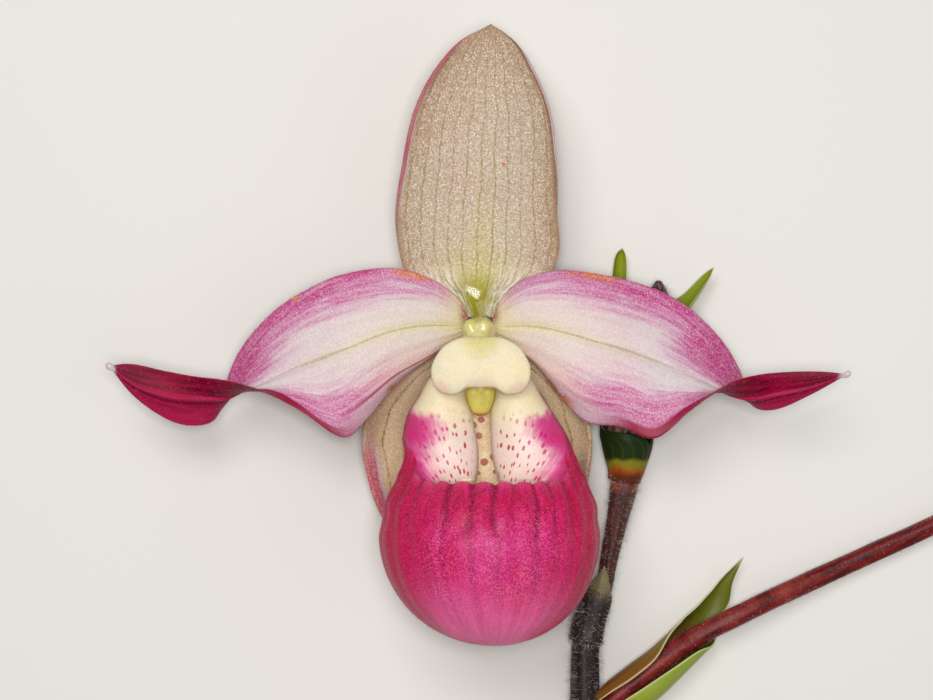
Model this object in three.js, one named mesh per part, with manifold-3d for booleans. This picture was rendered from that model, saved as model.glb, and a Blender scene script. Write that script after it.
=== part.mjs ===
// A lady's-slipper orchid of the genus Phragmipedium: one open flower on its cut, hairy stem, with a
// young bud, bracts and a side branch. It lies on its back on a flat surface, the flower facing up.
// Millimetres, +Z up. The flower's own frame has its origin where the petals meet, +X to the flower's
// right as it is looked at, +Y up the dorsal sepal and +Z out of its face. The finished group is moved
// so that its origin is the middle of the underside of its bounding box.

import * as THREE from 'three';
import { mergeVertices } from 'three/addons/utils/BufferGeometryUtils.js';
import Module from 'manifold-3d';

const wasm = await Module();
wasm.setup();

// ---------------------------------------------------------------- driving dimensions

const FLOOR_Z = -10.5;              // the surface it lies on, in the flower's frame
const ORIGIN = [15.15, -35.55];     // middle of the bounding box, in the flower's frame
const PETAL_THICKNESS = 0.6;
const BRACT_THICKNESS = 0.5;
const LIP_WALL = 0.8;

// Blades are drawn as rows from base to tip: [one margin, midrib, other margin], each [x, y, z].
const PETAL_LEFT = [
  [[-1.5, 1.6, -0.2], [-1.5, 0.5, -0.1], [-1.6, -0.6, -0.3]],
  [[-2.7, 3.9, -0.1], [-3.0, 0.5, 0.6], [-3.3, -1.9, -0.3]],
  [[-6.0, 6.3, 0.4], [-6.4, 0.5, 1.6], [-6.0, -4.3, 0.2]],
  [[-10.7, 7.6, 0.8], [-11.1, -0.3, 2.4], [-9.8, -7.2, 1.2]],
  [[-16.4, 6.9, 0.8], [-16.1, -2.2, 2.6], [-13.3, -11.0, 2.0]],
  [[-20.6, 5.2, 0.6], [-19.6, -3.6, 2.4], [-16.4, -13.1, 2.6]],
  [[-24.8, 2.6, 0.2], [-23.0, -4.8, 2.1], [-21.4, -9.8, 3.4]],
  [[-28.5, -1.2, -0.8], [-26.1, -6.2, 1.6], [-25.4, -7.6, 4.4]],
  [[-30.7, -5.0, -2.4], [-28.7, -7.3, 0.9], [-28.4, -6.5, 4.6]],
  [[-31.6, -8.8, -2.8], [-30.8, -8.3, 0.5], [-31.3, -5.9, 3.4]],
  [[-33.0, -11.3, -0.8], [-33.6, -8.4, 1.1], [-34.3, -5.6, 2.4]],
  [[-37.0, -11.2, 0.6], [-37.3, -8.1, 2.0], [-38.2, -4.9, 2.6]],
  [[-41.6, -8.2, 1.8], [-41.5, -6.7, 2.7], [-41.9, -4.1, 3.0]],
  [[-44.7, -4.3, 3.3], [-44.7, -4.3, 3.3], [-44.7, -4.3, 3.3]],
];
const PETAL_RIGHT = [
  [[1.5, 1.6, -0.2], [1.5, 0.5, -0.1], [1.6, -0.6, -0.3]],
  [[2.5, 3.6, -0.1], [2.8, 0.4, 0.6], [3.2, -2.1, -0.3]],
  [[5.0, 6.1, 0.4], [6.0, 0.4, 1.6], [6.1, -4.7, 0.2]],
  [[9.6, 7.3, 0.8], [10.1, -0.3, 2.4], [9.0, -8.2, 1.2]],
  [[14.7, 6.8, 0.8], [14.5, -1.5, 2.6], [12.6, -11.4, 2.0]],
  [[19.4, 5.7, 0.6], [18.3, -2.7, 2.4], [16.9, -11.8, 2.6]],
  [[23.7, 3.9, 0.2], [21.7, -4.0, 2.1], [21.0, -13.1, 3.2]],
  [[27.5, 1.0, -0.4], [25.2, -5.3, 1.6], [24.8, -10.0, 3.8]],
  [[30.7, -2.7, -1.8], [28.1, -6.6, 1.1], [27.7, -7.7, 4.5]],
  [[32.8, -6.9, -3.0], [30.7, -7.8, 0.7], [30.2, -6.2, 4.2]],
  [[33.5, -9.3, -1.4], [33.2, -8.3, 0.9], [33.3, -5.4, 3.0]],
  [[36.0, -9.6, 0.2], [36.0, -7.8, 1.7], [36.4, -5.1, 2.7]],
  [[40.0, -7.8, 1.6], [40.0, -6.9, 2.5], [40.5, -5.0, 2.9]],
  [[44.3, -5.3, 3.3], [44.3, -5.3, 3.3], [44.3, -5.3, 3.3]],
];
const DORSAL_SEPAL = [
  [[-0.9, 1.9, -1.3], [0.0, 1.9, -1.3], [0.9, 1.9, -1.3]],
  [[-3.4, 3.7, -1.4], [-0.3, 3.9, -1.6], [3.0, 3.7, -1.4]],
  [[-7.3, 6.2, -0.9], [-0.5, 6.6, -1.3], [6.8, 6.2, -0.9]],
  [[-9.6, 9.7, 0.2], [-0.4, 10.3, -0.9], [9.2, 9.7, 0.2]],
  [[-10.1, 14.5, 1.4], [-0.1, 15.1, -0.4], [9.3, 14.5, 1.5]],
  [[-9.3, 19.9, 2.2], [0.1, 20.7, 0.2], [9.1, 19.9, 2.3]],
  [[-8.0, 25.9, 2.7], [0.5, 26.8, 0.8], [8.4, 25.9, 2.8]],
  [[-5.7, 30.7, 2.8], [0.8, 31.8, 1.4], [6.6, 30.7, 2.8]],
  [[-2.2, 34.8, 2.6], [1.2, 35.6, 2.1], [4.0, 34.8, 2.6]],
  [[1.3, 36.9, 2.3], [1.3, 36.9, 2.3], [1.3, 36.9, 2.3]],
];
const SYNSEPALUM = [
  [[-0.9, -2.6, -1.4], [0.0, -2.6, -1.6], [0.9, -2.6, -1.4]],
  [[-5.2, -5.0, -2.0], [0.0, -5.5, -4.4], [5.2, -5.0, -2.0]],
  [[-10.5, -8.5, -2.8], [0.2, -9.5, -7.8], [10.3, -8.5, -2.8]],
  [[-14.2, -12.8, -3.4], [0.3, -14.0, -9.8], [13.4, -12.8, -3.4]],
  [[-13.6, -18.0, -3.9], [0.3, -19.5, -10.15], [13.1, -18.0, -3.9]],
  [[-11.8, -23.0, -4.8], [0.4, -24.5, -10.15], [11.9, -23.0, -4.8]],
  [[-7.9, -28.2, -6.4], [0.5, -29.5, -9.9], [8.4, -28.2, -6.4]],
  [[0.6, -33.8, -8.8], [0.6, -33.8, -8.8], [0.6, -33.8, -8.8]],
];

// The pouch of the lip, in rows of [y, middle x, half width, z of the widest point, front z, back z].
// The lowest part is a half ellipsoid under the first row; the rows climb to the neck.
const POUCH_BOTTOM = { x: 1.7, y: -37.3, z: 9.0 };
const POUCH_ROWS = [
  [-24.5, 1.13, 13.05, 8.6, 20.3, -3.0],
  [-20.5, 1.2, 12.5, 8.1, 18.8, -3.0],
  [-17.5, 1.24, 11.15, 7.3, 16.2, -2.8],
  [-15.0, 1.1, 10.15, 6.6, 13.8, -2.5],
  [-12.8, 0.6, 9.85, 6.0, 12.2, -2.2],
  [-10.0, 0.05, 8.7, 5.4, 10.6, -1.7],
  [-8.0, 0.0, 7.4, 4.8, 9.4, -1.4],
  [-6.0, 0.0, 6.3, 4.2, 8.2, -1.0],
  [-4.2, 0.0, 4.4, 3.0, 6.6, -0.6],
  [-2.0, 0.0, 1.5, 1.0, 2.6, 0.1],
];
const FRONT_RIM_ROW = 2;            // rows above the widest one at which the front rim lies
const NOTCH_ROW = 4;                // and at which the rim meets the infolded lobes
const NOTCH_ANGLE = 80;             // degrees round from the front to that notch
const RIM_FLAT_ANGLE = 46;          // the front rim stays level out to here

// The infolded side lobes, from the top down: [y, half slot, slot x, shoulder x, shoulder z, crest z, edge z].
const LOBE_ROWS = [
  [-4.6, 3.0, 0.0, 4.5, 3.6, 6.6, 5.0],
  [-6.0, 2.1, 0.0, 6.0, 4.4, 8.0, 5.6],
  [-8.0, 1.8, 0.0, 7.1, 5.4, 9.0, 6.0],
  [-10.0, 1.1, 0.1, 8.4, 6.2, 9.7, 6.6],
  [-12.8, 0.8, 0.4, 9.35, 6.8, 10.2, 7.2],
  [-15.0, 0.75, 0.6, 9.0, 7.0, 10.3, 7.4],
  [-17.5, 1.15, 0.8, 8.6, 6.8, 10.0, 7.2],
  [-20.5, 2.2, 0.9, 6.4, 5.6, 8.6, 6.2],
];

// The right half of the staminode's outline, from the top middle to the bottom middle.
const STAMINODE_OUTLINE = [
  [0.05, -0.9], [2.3, -0.95], [4.3, -1.9], [5.5, -3.5], [5.9, -4.9], [5.6, -6.4], [4.7, -7.4],
  [3.4, -7.65], [2.3, -7.35], [1.7, -6.85], [0.05, -6.8],
];
const STAMINODE_BACK_Z = 9.6;
const STAMINODE_THICKNESS = 1.6;

// Round pieces are drawn as stations along them: [x, y, z, radius].
const COLUMN = [
  [0, 0.0, -1.4, 1.1], [0, 0.0, 0.5, 1.2], [0, -0.2, 2.5, 2.0], [0, -0.5, 5.0, 2.15], [0, -0.8, 7.4, 2.0],
  [0, -1.5, 9.1, 1.4],
];
const STIGMA_STALK = [[0, -3.0, 4.9, 0.8], [0, -4.6, 4.7, 0.8], [0.05, -7.4, 4.4, 0.9]];
const STIGMA_DISC = { centre: [0.05, -8.4, 4.2], radii: [2.1, 2.0, 0.75], tilt: 12 };
const ANTHER = [[2.45, -1.6, 5.4, 0.5], [3.0, -2.2, 5.6, 0.95], [3.3, -3.2, 5.8, 0.9], [3.4, -3.9, 5.9, 0.4]];
const OVARY = [
  [17.0, -13.4, -6.2, 1.0], [17.1, -10.5, -5.9, 1.3], [16.3, -8.3, -5.3, 1.5], [14.0, -5.6, -4.8, 1.8],
  [9.4, -2.6, -4.7, 2.0], [4.6, -0.8, -5.0, 2.0], [1.6, -0.05, -4.4, 1.9], [0.2, 0.0, -3.2, 1.9],
  [0.1, 0.0, -2.1, 2.05],
];
const MAIN_STEM = [
  [10.5, -108.0, -8.7, 1.8], [11.5, -93.0, -8.7, 1.8], [12.5, -77.0, -8.7, 1.8], [13.1, -61.0, -8.7, 1.8],
  [13.2, -47.6, -8.7, 1.85], [13.3, -38.6, -8.6, 1.75], [14.1, -35.3, -8.5, 1.6], [15.4, -32.0, -8.3, 1.1],
  [16.3, -27.4, -8.0, 1.15], [17.2, -23.0, -7.7, 1.4], [18.1, -18.4, -7.5, 1.75], [18.75, -14.0, -7.7, 1.15],
  [19.6, -11.0, -7.4, 1.0], [20.5, -8.8, -7.2, 0.95],
];
const FLOWER_BUD = [
  [20.6, -8.4, -7.1, 0.95], [21.0, -5.6, -6.8, 1.6], [21.5, -1.8, -6.6, 2.05], [21.9, 2.2, -6.6, 1.85],
  [22.15, 4.8, -6.6, 1.2], [22.2, 6.2, -6.5, 0.3],
];
const SIDE_BRANCH = [
  [16.15, -46.2, -8.0, 1.3], [20.5, -42.8, -7.85, 1.3], [24.3, -39.9, -7.7, 1.3], [27.7, -37.7, -7.5, 1.3],
  [32.3, -35.4, -7.5, 1.3], [36.8, -33.3, -8.1, 1.3], [42.9, -30.6, -8.9, 1.25], [48.9, -27.9, -9.2, 1.2],
  [54.3, -25.5, -9.25, 1.15], [60.5, -22.6, -9.1, 1.1], [66.0, -19.9, -8.7, 1.05],
];
const BRANCH_END_BUD = [
  [66.4, -19.7, -8.65, 1.0], [68.0, -18.9, -8.4, 1.6], [70.0, -17.9, -8.3, 1.75], [72.4, -16.6, -8.4, 1.2],
  [74.0, -15.7, -8.5, 0.3],
];

// Bracts are channels round an axis: [x, y, z, radius, half opening angle in degrees, keel x, keel y, keel z].
const BRACT_UPPER_LEFT = [
  [17.95, -19.2, -7.5, 2.45, 165, 0, 0, -1], [18.2, -17.2, -7.3, 2.9, 160, 0, 0, -1],
  [18.3, -13.8, -7.1, 3.1, 150, 0, 0, -1], [18.05, -11.9, -7.15, 3.05, 84, -0.75, 0, -0.95],
  [17.7, -10.2, -7.3, 2.8, 60, -0.8, 0, -0.8],
  [17.0, -6.8, -7.8, 2.3, 48, -0.2, 0, -1], [17.3, -1.0, -8.4, 1.8, 60, -0.3, 0, -1],
  [17.5, 5.0, -8.5, 1.1, 65, -0.3, 0, -1], [17.8, 10.3, -8.2, 0.0, 60, -0.3, 0, -1],
];
const BRACT_UPPER_RIGHT = [
  [20.6, -8.9, -7.2, 1.7, 150, 0.9, 0, -0.6], [21.1, -5.4, -6.8, 2.35, 110, 0.9, 0, -0.6],
  [21.7, -1.6, -6.6, 2.75, 80, 0.9, 0, -0.6], [22.9, 2.2, -6.8, 2.45, 62, 0.9, 0, -0.6],
  [26.0, 4.8, -7.4, 1.0, 60, 0.9, -0.4, -0.6], [29.0, 7.8, -7.8, 0.0, 50, 0.9, -0.4, -0.6],
];
const NODE_BRACT = [
  [13.2, -38.9, -8.5, 2.45, 105, -0.5, 0, 0.8], [13.9, -35.6, -8.4, 2.3, 100, -0.5, 0, 0.8],
  [15.1, -32.4, -8.0, 1.9, 75, -0.4, 0, 0.8], [15.4, -30.8, -7.1, 1.0, 65, -0.3, 0, 0.8],
  [15.5, -29.2, -6.6, 0.0, 60, -0.3, 0, 0.8],
];
const BRANCH_BRACT = [
  [17.14, -46.0, -7.8, 2.4, 160, 0.17, -0.23, -0.96], [20.1, -43.95, -7.65, 2.6, 162, 0.14, -0.19, -0.97],
  [23.2, -41.4, -7.7, 2.4, 152, 0.12, -0.16, -0.98], [26.3, -38.4, -7.7, 2.35, 113, 0.24, -0.31, -0.92],
  [27.7, -37.0, -7.75, 2.4, 82, -0.08, 0.1, -0.99], [29.0, -35.2, -8.1, 1.9, 60, -0.26, 0.34, -0.91],
  [30.0, -33.5, -8.4, 1.5, 65, -0.1, 0.15, -1], [31.0, -31.2, -8.6, 0.75, 65, 0, 0, -1],
  [33.0, -28.25, -8.7, 0.0, 65, 0, 0, -1],
];
const BRANCH_END_BRACT = [
  [65.4, -20.2, -8.75, 1.7, 85, -0.3, 0.6, 0.6], [67.8, -19.0, -8.4, 2.3, 80, -0.3, 0.6, 0.6],
  [70.4, -17.7, -8.3, 2.35, 65, -0.3, 0.6, 0.6], [75.0, -13.8, -8.2, 0.0, 50, -0.3, 0.6, 0.6],
];

const COLOURS = {
  sepal: 0xc9b7a6, petal: 0xe3b8c6, crimson: 0xb4123f, cream: 0xefe4b8, columnGreen: 0xd9d98c,
  olive: 0xb9b54a, anther: 0xd8b25a, hairyStem: 0x4a2230, branch: 0x7c2a30, bract: 0x6f8a2c, bud: 0x4a2a2e,
};

// ---------------------------------------------------------------- curves and sheets

const vector = ([x, y, z]) => new THREE.Vector3(x, y, z);
const radians = THREE.MathUtils.degToRad;

function curveThrough(points) {
  return new THREE.CatmullRomCurve3(points.map(vector), false, 'catmullrom', 0.5);
}

// Reads every column of a table of rows as one smooth function of t, from 0 (first row) to 1 (last row).
function smoothTable(rows) {
  const triples = Math.ceil(rows[0].length / 3);
  const curves = Array.from({ length: triples }, (_, k) =>
    curveThrough(rows.map((row) => [row[3 * k], row[3 * k + 1] ?? 0, row[3 * k + 2] ?? 0])));
  return (t) => curves.flatMap((curve) => curve.getPoint(THREE.MathUtils.clamp(t, 0, 1)).toArray());
}

// A sheet is { points, faces }. place(s, v) gives its surface with s from 0 to 1 and v from -1 to 1.
function gridSheet(along, across, place) {
  const points = [];
  const faces = [];
  for (let i = 0; i <= along; i++) {
    for (let j = 0; j <= across; j++) points.push(place(i / along, (2 * j) / across - 1));
  }
  for (let i = 0; i < along; i++) {
    for (let j = 0; j < across; j++) {
      const a = i * (across + 1) + j;
      const b = a + across + 1;
      faces.push([a, b, b + 1], [a, b + 1, a + 1]);
    }
  }
  return weld({ points, faces });
}

// Joins points that lie together, as at a tip or a seam, and drops the faces that this collapses.
function weld({ points, faces }) {
  const kept = [];
  const index = new Map();
  const renumber = points.map((p) => {
    const key = p.toArray().map((value) => Math.round(value * 1e4)).join();
    if (!index.has(key)) index.set(key, kept.push(p) - 1);
    return index.get(key);
  });
  const whole = faces.map((face) => face.map((i) => renumber[i]))
    .filter(([a, b, c]) => a !== b && b !== c && c !== a);
  return { points: kept, faces: whole };
}

function vertexNormals({ points, faces }) {
  const normals = points.map(() => new THREE.Vector3());
  for (const [a, b, c] of faces) {
    const normal = points[b].clone().sub(points[a]).cross(points[c].clone().sub(points[a]));
    for (const i of [a, b, c]) normals[i].add(normal);
  }
  return normals.map((normal) => normal.normalize());
}

// Gives a sheet a front and a back, that far along and against its normals, and closes its edges.
function thicken(sheet, front, back) {
  const normals = vertexNormals(sheet);
  const count = sheet.points.length;
  const points = [
    ...sheet.points.map((p, i) => p.clone().addScaledVector(normals[i], front)),
    ...sheet.points.map((p, i) => p.clone().addScaledVector(normals[i], -back)),
  ];
  const faces = sheet.faces.flatMap(([a, b, c]) => [[a, b, c], [c + count, b + count, a + count]]);
  const edges = new Set(sheet.faces.flatMap(([a, b, c]) => [`${a},${b}`, `${b},${c}`, `${c},${a}`]));
  for (const edge of edges) {
    const [a, b] = edge.split(',').map(Number);
    if (!edges.has(`${b},${a}`)) faces.push([b, a, a + count], [b, a + count, b + count]);
  }
  return geometryFrom({ points, faces });
}

// Makes the BufferGeometry of a closed set of faces, turned the right way out.
function geometryFrom({ points, faces }) {
  const volume = faces.reduce((sum, [a, b, c]) =>
    sum + points[a].dot(points[b].clone().cross(points[c])), 0);
  const outward = volume > 0 ? faces : faces.map(([a, b, c]) => [c, b, a]);
  const geometry = new THREE.BufferGeometry();
  geometry.setAttribute('position', new THREE.Float32BufferAttribute(points.flatMap((p) => p.toArray()), 3));
  geometry.setIndex(outward.flat());
  return geometry;
}

function toManifold(geometry) {
  const bare = geometry.clone();
  bare.deleteAttribute('normal');
  bare.deleteAttribute('uv');
  const merged = mergeVertices(bare);
  return new wasm.Manifold(new wasm.Mesh({
    numProp: 3,
    vertProperties: new Float32Array(merged.attributes.position.array),
    triVerts: new Uint32Array(merged.index.array),
  }));
}

function joinSolids(geometries) {
  const whole = geometries.map(toManifold).reduce((sum, solid) => sum.add(solid));
  const mesh = whole.getMesh();
  const geometry = new THREE.BufferGeometry();
  geometry.setAttribute('position', new THREE.Float32BufferAttribute(mesh.vertProperties, 3));
  geometry.setIndex(Array.from(mesh.triVerts));
  return geometry;
}

// ---------------------------------------------------------------- the kinds of piece

// A blade is curved across from margin to midrib to margin; a higher power flattens its middle.
function blade(rows, { along, across, thickness, power = 2 }) {
  const [first, rib, second] = [0, 1, 2].map((k) => curveThrough(rows.map((row) => row[k])));
  const sheet = gridSheet(along, across, (s, v) => {
    const [p, m, q] = [first.getPoint(s), rib.getPoint(s), second.getPoint(s)];
    const bow = p.clone().add(q).multiplyScalar(0.5).sub(m);
    return m.addScaledVector(q.sub(p), v / 2).addScaledVector(bow, Math.abs(v) ** power);
  });
  return thicken(sheet, thickness / 2, thickness / 2);
}

// A channel wraps round an axis, with its keel where the row points it.
function channel(rows, { along, across, thickness }) {
  const table = smoothTable(rows);
  const axis = curveThrough(rows.map((row) => row.slice(0, 3)));
  const sheet = gridSheet(along, across, (s, v) => {
    const [x, y, z, radius, opening, ...keelValues] = table(s);
    const tangent = axis.getTangent(Math.min(s, 0.999));
    const keel = vector(keelValues).projectOnPlane(tangent).normalize();
    const side = tangent.clone().cross(keel);
    const angle = radians(opening) * v;
    return vector([x, y, z]).addScaledVector(keel, radius * Math.cos(angle))
      .addScaledVector(side, radius * Math.sin(angle));
  });
  return thicken(sheet, thickness / 2, thickness / 2);
}

// A stalk is round, with a radius that changes along it, and closed at both ends.
function stalk(rows, { steps, sides }) {
  const table = smoothTable(rows.map((row) => [...row, 0, 0]));
  const axis = curveThrough(rows.map((row) => row.slice(0, 3)));
  const points = [];
  const faces = [];
  const tangent0 = axis.getTangent(0);
  let side = new THREE.Vector3(0.3, 0.2, 1).cross(tangent0).normalize();
  for (let i = 0; i <= steps; i++) {
    const s = i / steps;
    const [x, y, z, radius] = table(s);
    const tangent = axis.getTangent(s);
    side = side.projectOnPlane(tangent).normalize();
    const other = tangent.clone().cross(side);
    for (let j = 0; j < sides; j++) {
      const angle = (2 * Math.PI * j) / sides;
      points.push(vector([x, y, z]).addScaledVector(side, radius * Math.cos(angle))
        .addScaledVector(other, radius * Math.sin(angle)));
    }
  }
  for (let i = 0; i < steps; i++) {
    for (let j = 0; j < sides; j++) {
      const [a, b] = [i * sides + j, i * sides + ((j + 1) % sides)];
      faces.push([a, b, b + sides], [a, b + sides, a + sides]);
    }
  }
  const firstEnd = points.push(vector(rows[0])) - 1;
  const lastEnd = points.push(vector(rows[rows.length - 1])) - 1;
  for (let j = 0; j < sides; j++) {
    const next = (j + 1) % sides;
    faces.push([firstEnd, next, j], [lastEnd, steps * sides + j, steps * sides + next]);
  }
  return geometryFrom({ points, faces });
}

// ---------------------------------------------------------------- the lip

const pouchTable = smoothTable(POUCH_ROWS);

// The pouch's outer surface. height is 0 at the widest row, 1 a row higher and so on, and runs down
// to -1 at the bottom; angle is in degrees, 0 at the front and 180 at the back.
function pouchPoint(height, angle) {
  const [y, middle, width, z, front, back] = pouchTable(height / (POUCH_ROWS.length - 1));
  const latitude = height < 0 ? (height * Math.PI) / 2 : 0;
  const ring = Math.cos(latitude);
  const drop = Math.sin(latitude) * (POUCH_ROWS[0][0] - POUCH_BOTTOM.y);
  const [sine, cosine] = [Math.sin(radians(angle)), Math.cos(radians(angle))];
  const depth = cosine > 0 ? front - z : z - back;
  const blend = 1 - ring;
  return new THREE.Vector3(
    THREE.MathUtils.lerp(middle, POUCH_BOTTOM.x, blend) + width * sine * ring,
    y + drop,
    THREE.MathUtils.lerp(z, POUCH_BOTTOM.z, blend) + depth * cosine * ring,
  );
}

// How high the wall climbs: level at the front rim, then up to the notch and on at that height.
function rimHeight(angle) {
  const fromFront = Math.abs(angle > 180 ? angle - 360 : angle);
  const climb = THREE.MathUtils.smoothstep(fromFront, RIM_FLAT_ANGLE, NOTCH_ANGLE);
  return THREE.MathUtils.lerp(FRONT_RIM_ROW, NOTCH_ROW, climb);
}

// Angles round the pouch, closer together at the front, with the two notches on the way.
function pouchAngles(frontSteps, backSteps) {
  const front = Array.from({ length: frontSteps }, (_, k) => NOTCH_ANGLE * ((2 * k) / frontSteps - 1));
  const backSpan = 360 - 2 * NOTCH_ANGLE;
  const back = Array.from({ length: backSteps + 1 }, (_, k) => NOTCH_ANGLE + (backSpan * k) / backSteps);
  return [...front, ...back];
}

// The pouch's wall as one sheet, its normals pointing into the pouch.
function pouchWall() {
  const angles = pouchAngles(14, 12);
  const lower = gridSheet(11, angles.length - 1, (s, v) => {
    const angle = angles[Math.round(((v + 1) / 2) * (angles.length - 1))];
    return pouchPoint(THREE.MathUtils.lerp(-1, rimHeight(angle), s), angle);
  });
  const backAngles = angles.filter((angle) => angle >= NOTCH_ANGLE);
  const neck = gridSheet(6, backAngles.length - 1, (s, v) => {
    const angle = backAngles[Math.round(((v + 1) / 2) * (backAngles.length - 1))];
    return pouchPoint(THREE.MathUtils.lerp(NOTCH_ROW, POUCH_ROWS.length - 1, s), angle);
  });
  const shift = lower.points.length;
  return weld({
    points: [...lower.points, ...neck.points],
    faces: [...lower.faces, ...neck.faces.map((face) => face.map((i) => i + shift))],
  });
}

// One infolded lobe: an arch from the pouch's shoulder to the free edge beside the slot.
function lobeSheet(side) {
  const table = smoothTable(LOBE_ROWS);
  return gridSheet(10, 7, (s, v) => {
    const [y, halfSlot, slotX, shoulderX, shoulderZ, crestZ, edgeZ] = table(s);
    const turn = (Math.PI * (v + 1)) / 2;
    const shoulder = slotX + side * shoulderX;
    const edge = slotX + side * halfSlot;
    const base = THREE.MathUtils.lerp(shoulderZ, edgeZ, (v + 1) / 2);
    return new THREE.Vector3(
      (shoulder + edge) / 2 + ((shoulder - edge) / 2) * Math.cos(turn),
      y,
      base + (crestZ - base) * Math.sin(turn) ** 0.8,
    );
  });
}

function lip() {
  const wall = thicken(pouchWall(), LIP_WALL, 0);
  const lobes = [-1, 1].map((side) => thicken(lobeSheet(side), LIP_WALL / 2, LIP_WALL / 2));
  return joinSolids([wall, ...lobes]);
}

// ---------------------------------------------------------------- the middle of the flower

function staminode() {
  const right = STAMINODE_OUTLINE.map(([x, y]) => new THREE.Vector2(x, y));
  const left = STAMINODE_OUTLINE.slice(1, -1).reverse().map(([x, y]) => new THREE.Vector2(0.1 - x, y));
  const rim = new THREE.SplineCurve([...right, ...left, right[0]]).getPoints(40).slice(0, -1);
  const bevel = 0.45;
  const centre = new THREE.Vector2(0.05, -4.2);
  const inner = rim.map((p) => p.clone().lerp(centre, bevel / p.distanceTo(centre)));
  const geometry = new THREE.ExtrudeGeometry(new THREE.Shape(inner), {
    depth: STAMINODE_THICKNESS - 2 * bevel, bevelThickness: bevel, bevelSize: bevel, bevelSegments: 2,
    curveSegments: 1,
  });
  return geometry.translate(0, 0, STAMINODE_BACK_Z + bevel);
}

function stigma() {
  const disc = new THREE.SphereGeometry(1, 16, 8).scale(...STIGMA_DISC.radii)
    .rotateX(radians(STIGMA_DISC.tilt)).translate(...STIGMA_DISC.centre);
  return joinSolids([disc, stalk(STIGMA_STALK, { steps: 4, sides: 12 })]);
}

const mirrored = (rows) => rows.map(([x, ...rest]) => [-x, ...rest]);

// ---------------------------------------------------------------- assembly

function piece(name, geometry, colour, roughness = 0.6) {
  const mesh = new THREE.Mesh(geometry, new THREE.MeshStandardMaterial({ color: colour, roughness, metalness: 0 }));
  mesh.name = name;
  return mesh;
}

const petalGrid = { along: 26, across: 6, thickness: PETAL_THICKNESS };
const sepalGrid = { along: 18, across: 6, thickness: PETAL_THICKNESS };
const bractGrid = { along: 12, across: 8, thickness: BRACT_THICKNESS };

const flower = new THREE.Group();
flower.add(
  piece('dorsal_sepal', blade(DORSAL_SEPAL, sepalGrid), COLOURS.sepal),
  piece('synsepalum', blade(SYNSEPALUM, { ...sepalGrid, across: 8, power: 2.6 }), COLOURS.sepal),
  piece('petal_left', blade(PETAL_LEFT, petalGrid), COLOURS.petal),
  piece('petal_right', blade(PETAL_RIGHT, petalGrid), COLOURS.petal),
  piece('lip', lip(), COLOURS.crimson, 0.5),
  piece('column', stalk(COLUMN, { steps: 10, sides: 16 }), COLOURS.columnGreen, 0.35),
  piece('staminode', staminode(), COLOURS.cream, 0.5),
  piece('stigma', stigma(), COLOURS.olive, 0.35),
  piece('anther_left', stalk(mirrored(ANTHER), { steps: 6, sides: 10 }), COLOURS.anther),
  piece('anther_right', stalk(ANTHER, { steps: 6, sides: 10 }), COLOURS.anther),
);

const stem = new THREE.Group();
stem.add(
  piece('ovary', stalk(OVARY, { steps: 20, sides: 14 }), COLOURS.hairyStem, 0.8),
  piece('main_stem', stalk(MAIN_STEM, { steps: 36, sides: 12 }), COLOURS.hairyStem, 0.8),
  piece('flower_bud', stalk(FLOWER_BUD, { steps: 12, sides: 12 }), COLOURS.bud, 0.85),
  piece('bract_upper_left', channel(BRACT_UPPER_LEFT, { ...bractGrid, along: 20 }), COLOURS.bract),
  piece('bract_upper_right', channel(BRACT_UPPER_RIGHT, bractGrid), COLOURS.bract),
  piece('node_bract', channel(NODE_BRACT, { ...bractGrid, along: 8 }), COLOURS.bract),
  piece('side_branch', stalk(SIDE_BRANCH, { steps: 24, sides: 12 }), COLOURS.branch, 0.7),
  piece('branch_bract', channel(BRANCH_BRACT, { ...bractGrid, along: 20, across: 10 }), COLOURS.bract),
  piece('branch_end_bud', stalk(BRANCH_END_BUD, { steps: 10, sides: 12 }), COLOURS.bud, 0.85),
  piece('branch_end_bract', channel(BRANCH_END_BRACT, { ...bractGrid, along: 8 }), COLOURS.bract),
);

const orchid = new THREE.Group();
orchid.add(flower, stem);
orchid.position.set(-ORIGIN[0], -ORIGIN[1], -FLOOR_Z);

export default orchid;
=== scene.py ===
"""A cut stem of a slipper orchid in flower, lying on its back, built around its fixed frame."""

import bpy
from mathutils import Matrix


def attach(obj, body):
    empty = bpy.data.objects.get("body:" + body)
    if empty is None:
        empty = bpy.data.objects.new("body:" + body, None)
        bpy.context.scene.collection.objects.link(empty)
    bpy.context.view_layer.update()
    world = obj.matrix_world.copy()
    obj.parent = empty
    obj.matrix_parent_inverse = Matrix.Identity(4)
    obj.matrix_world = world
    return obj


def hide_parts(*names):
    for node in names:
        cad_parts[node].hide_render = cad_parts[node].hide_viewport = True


bl_info = {
    "name": "Slipper orchid stem",
    "version": (1, 0, 0),
    "blender": (4, 5, 0),
    "location": "View3D > Sidebar > Orchid",
    "description": "Builds the flower, its stem, bracts and buds, and the stage they lie on",
    "category": "Add Mesh",
}

import math

import bpy
import numpy as np
from bpy.props import FloatProperty, FloatVectorProperty, IntProperty, PointerProperty

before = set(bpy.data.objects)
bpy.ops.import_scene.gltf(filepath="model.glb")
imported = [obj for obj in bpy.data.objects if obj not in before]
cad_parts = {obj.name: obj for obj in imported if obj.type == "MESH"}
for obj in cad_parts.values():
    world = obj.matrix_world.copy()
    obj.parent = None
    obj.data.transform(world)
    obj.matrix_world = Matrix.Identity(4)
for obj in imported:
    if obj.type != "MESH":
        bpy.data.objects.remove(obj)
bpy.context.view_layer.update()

# The flower's own centre, in millimetres of the part's frame with its sign turned.
ORIGIN = np.array((15.15, -35.55, -10.5))

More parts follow.
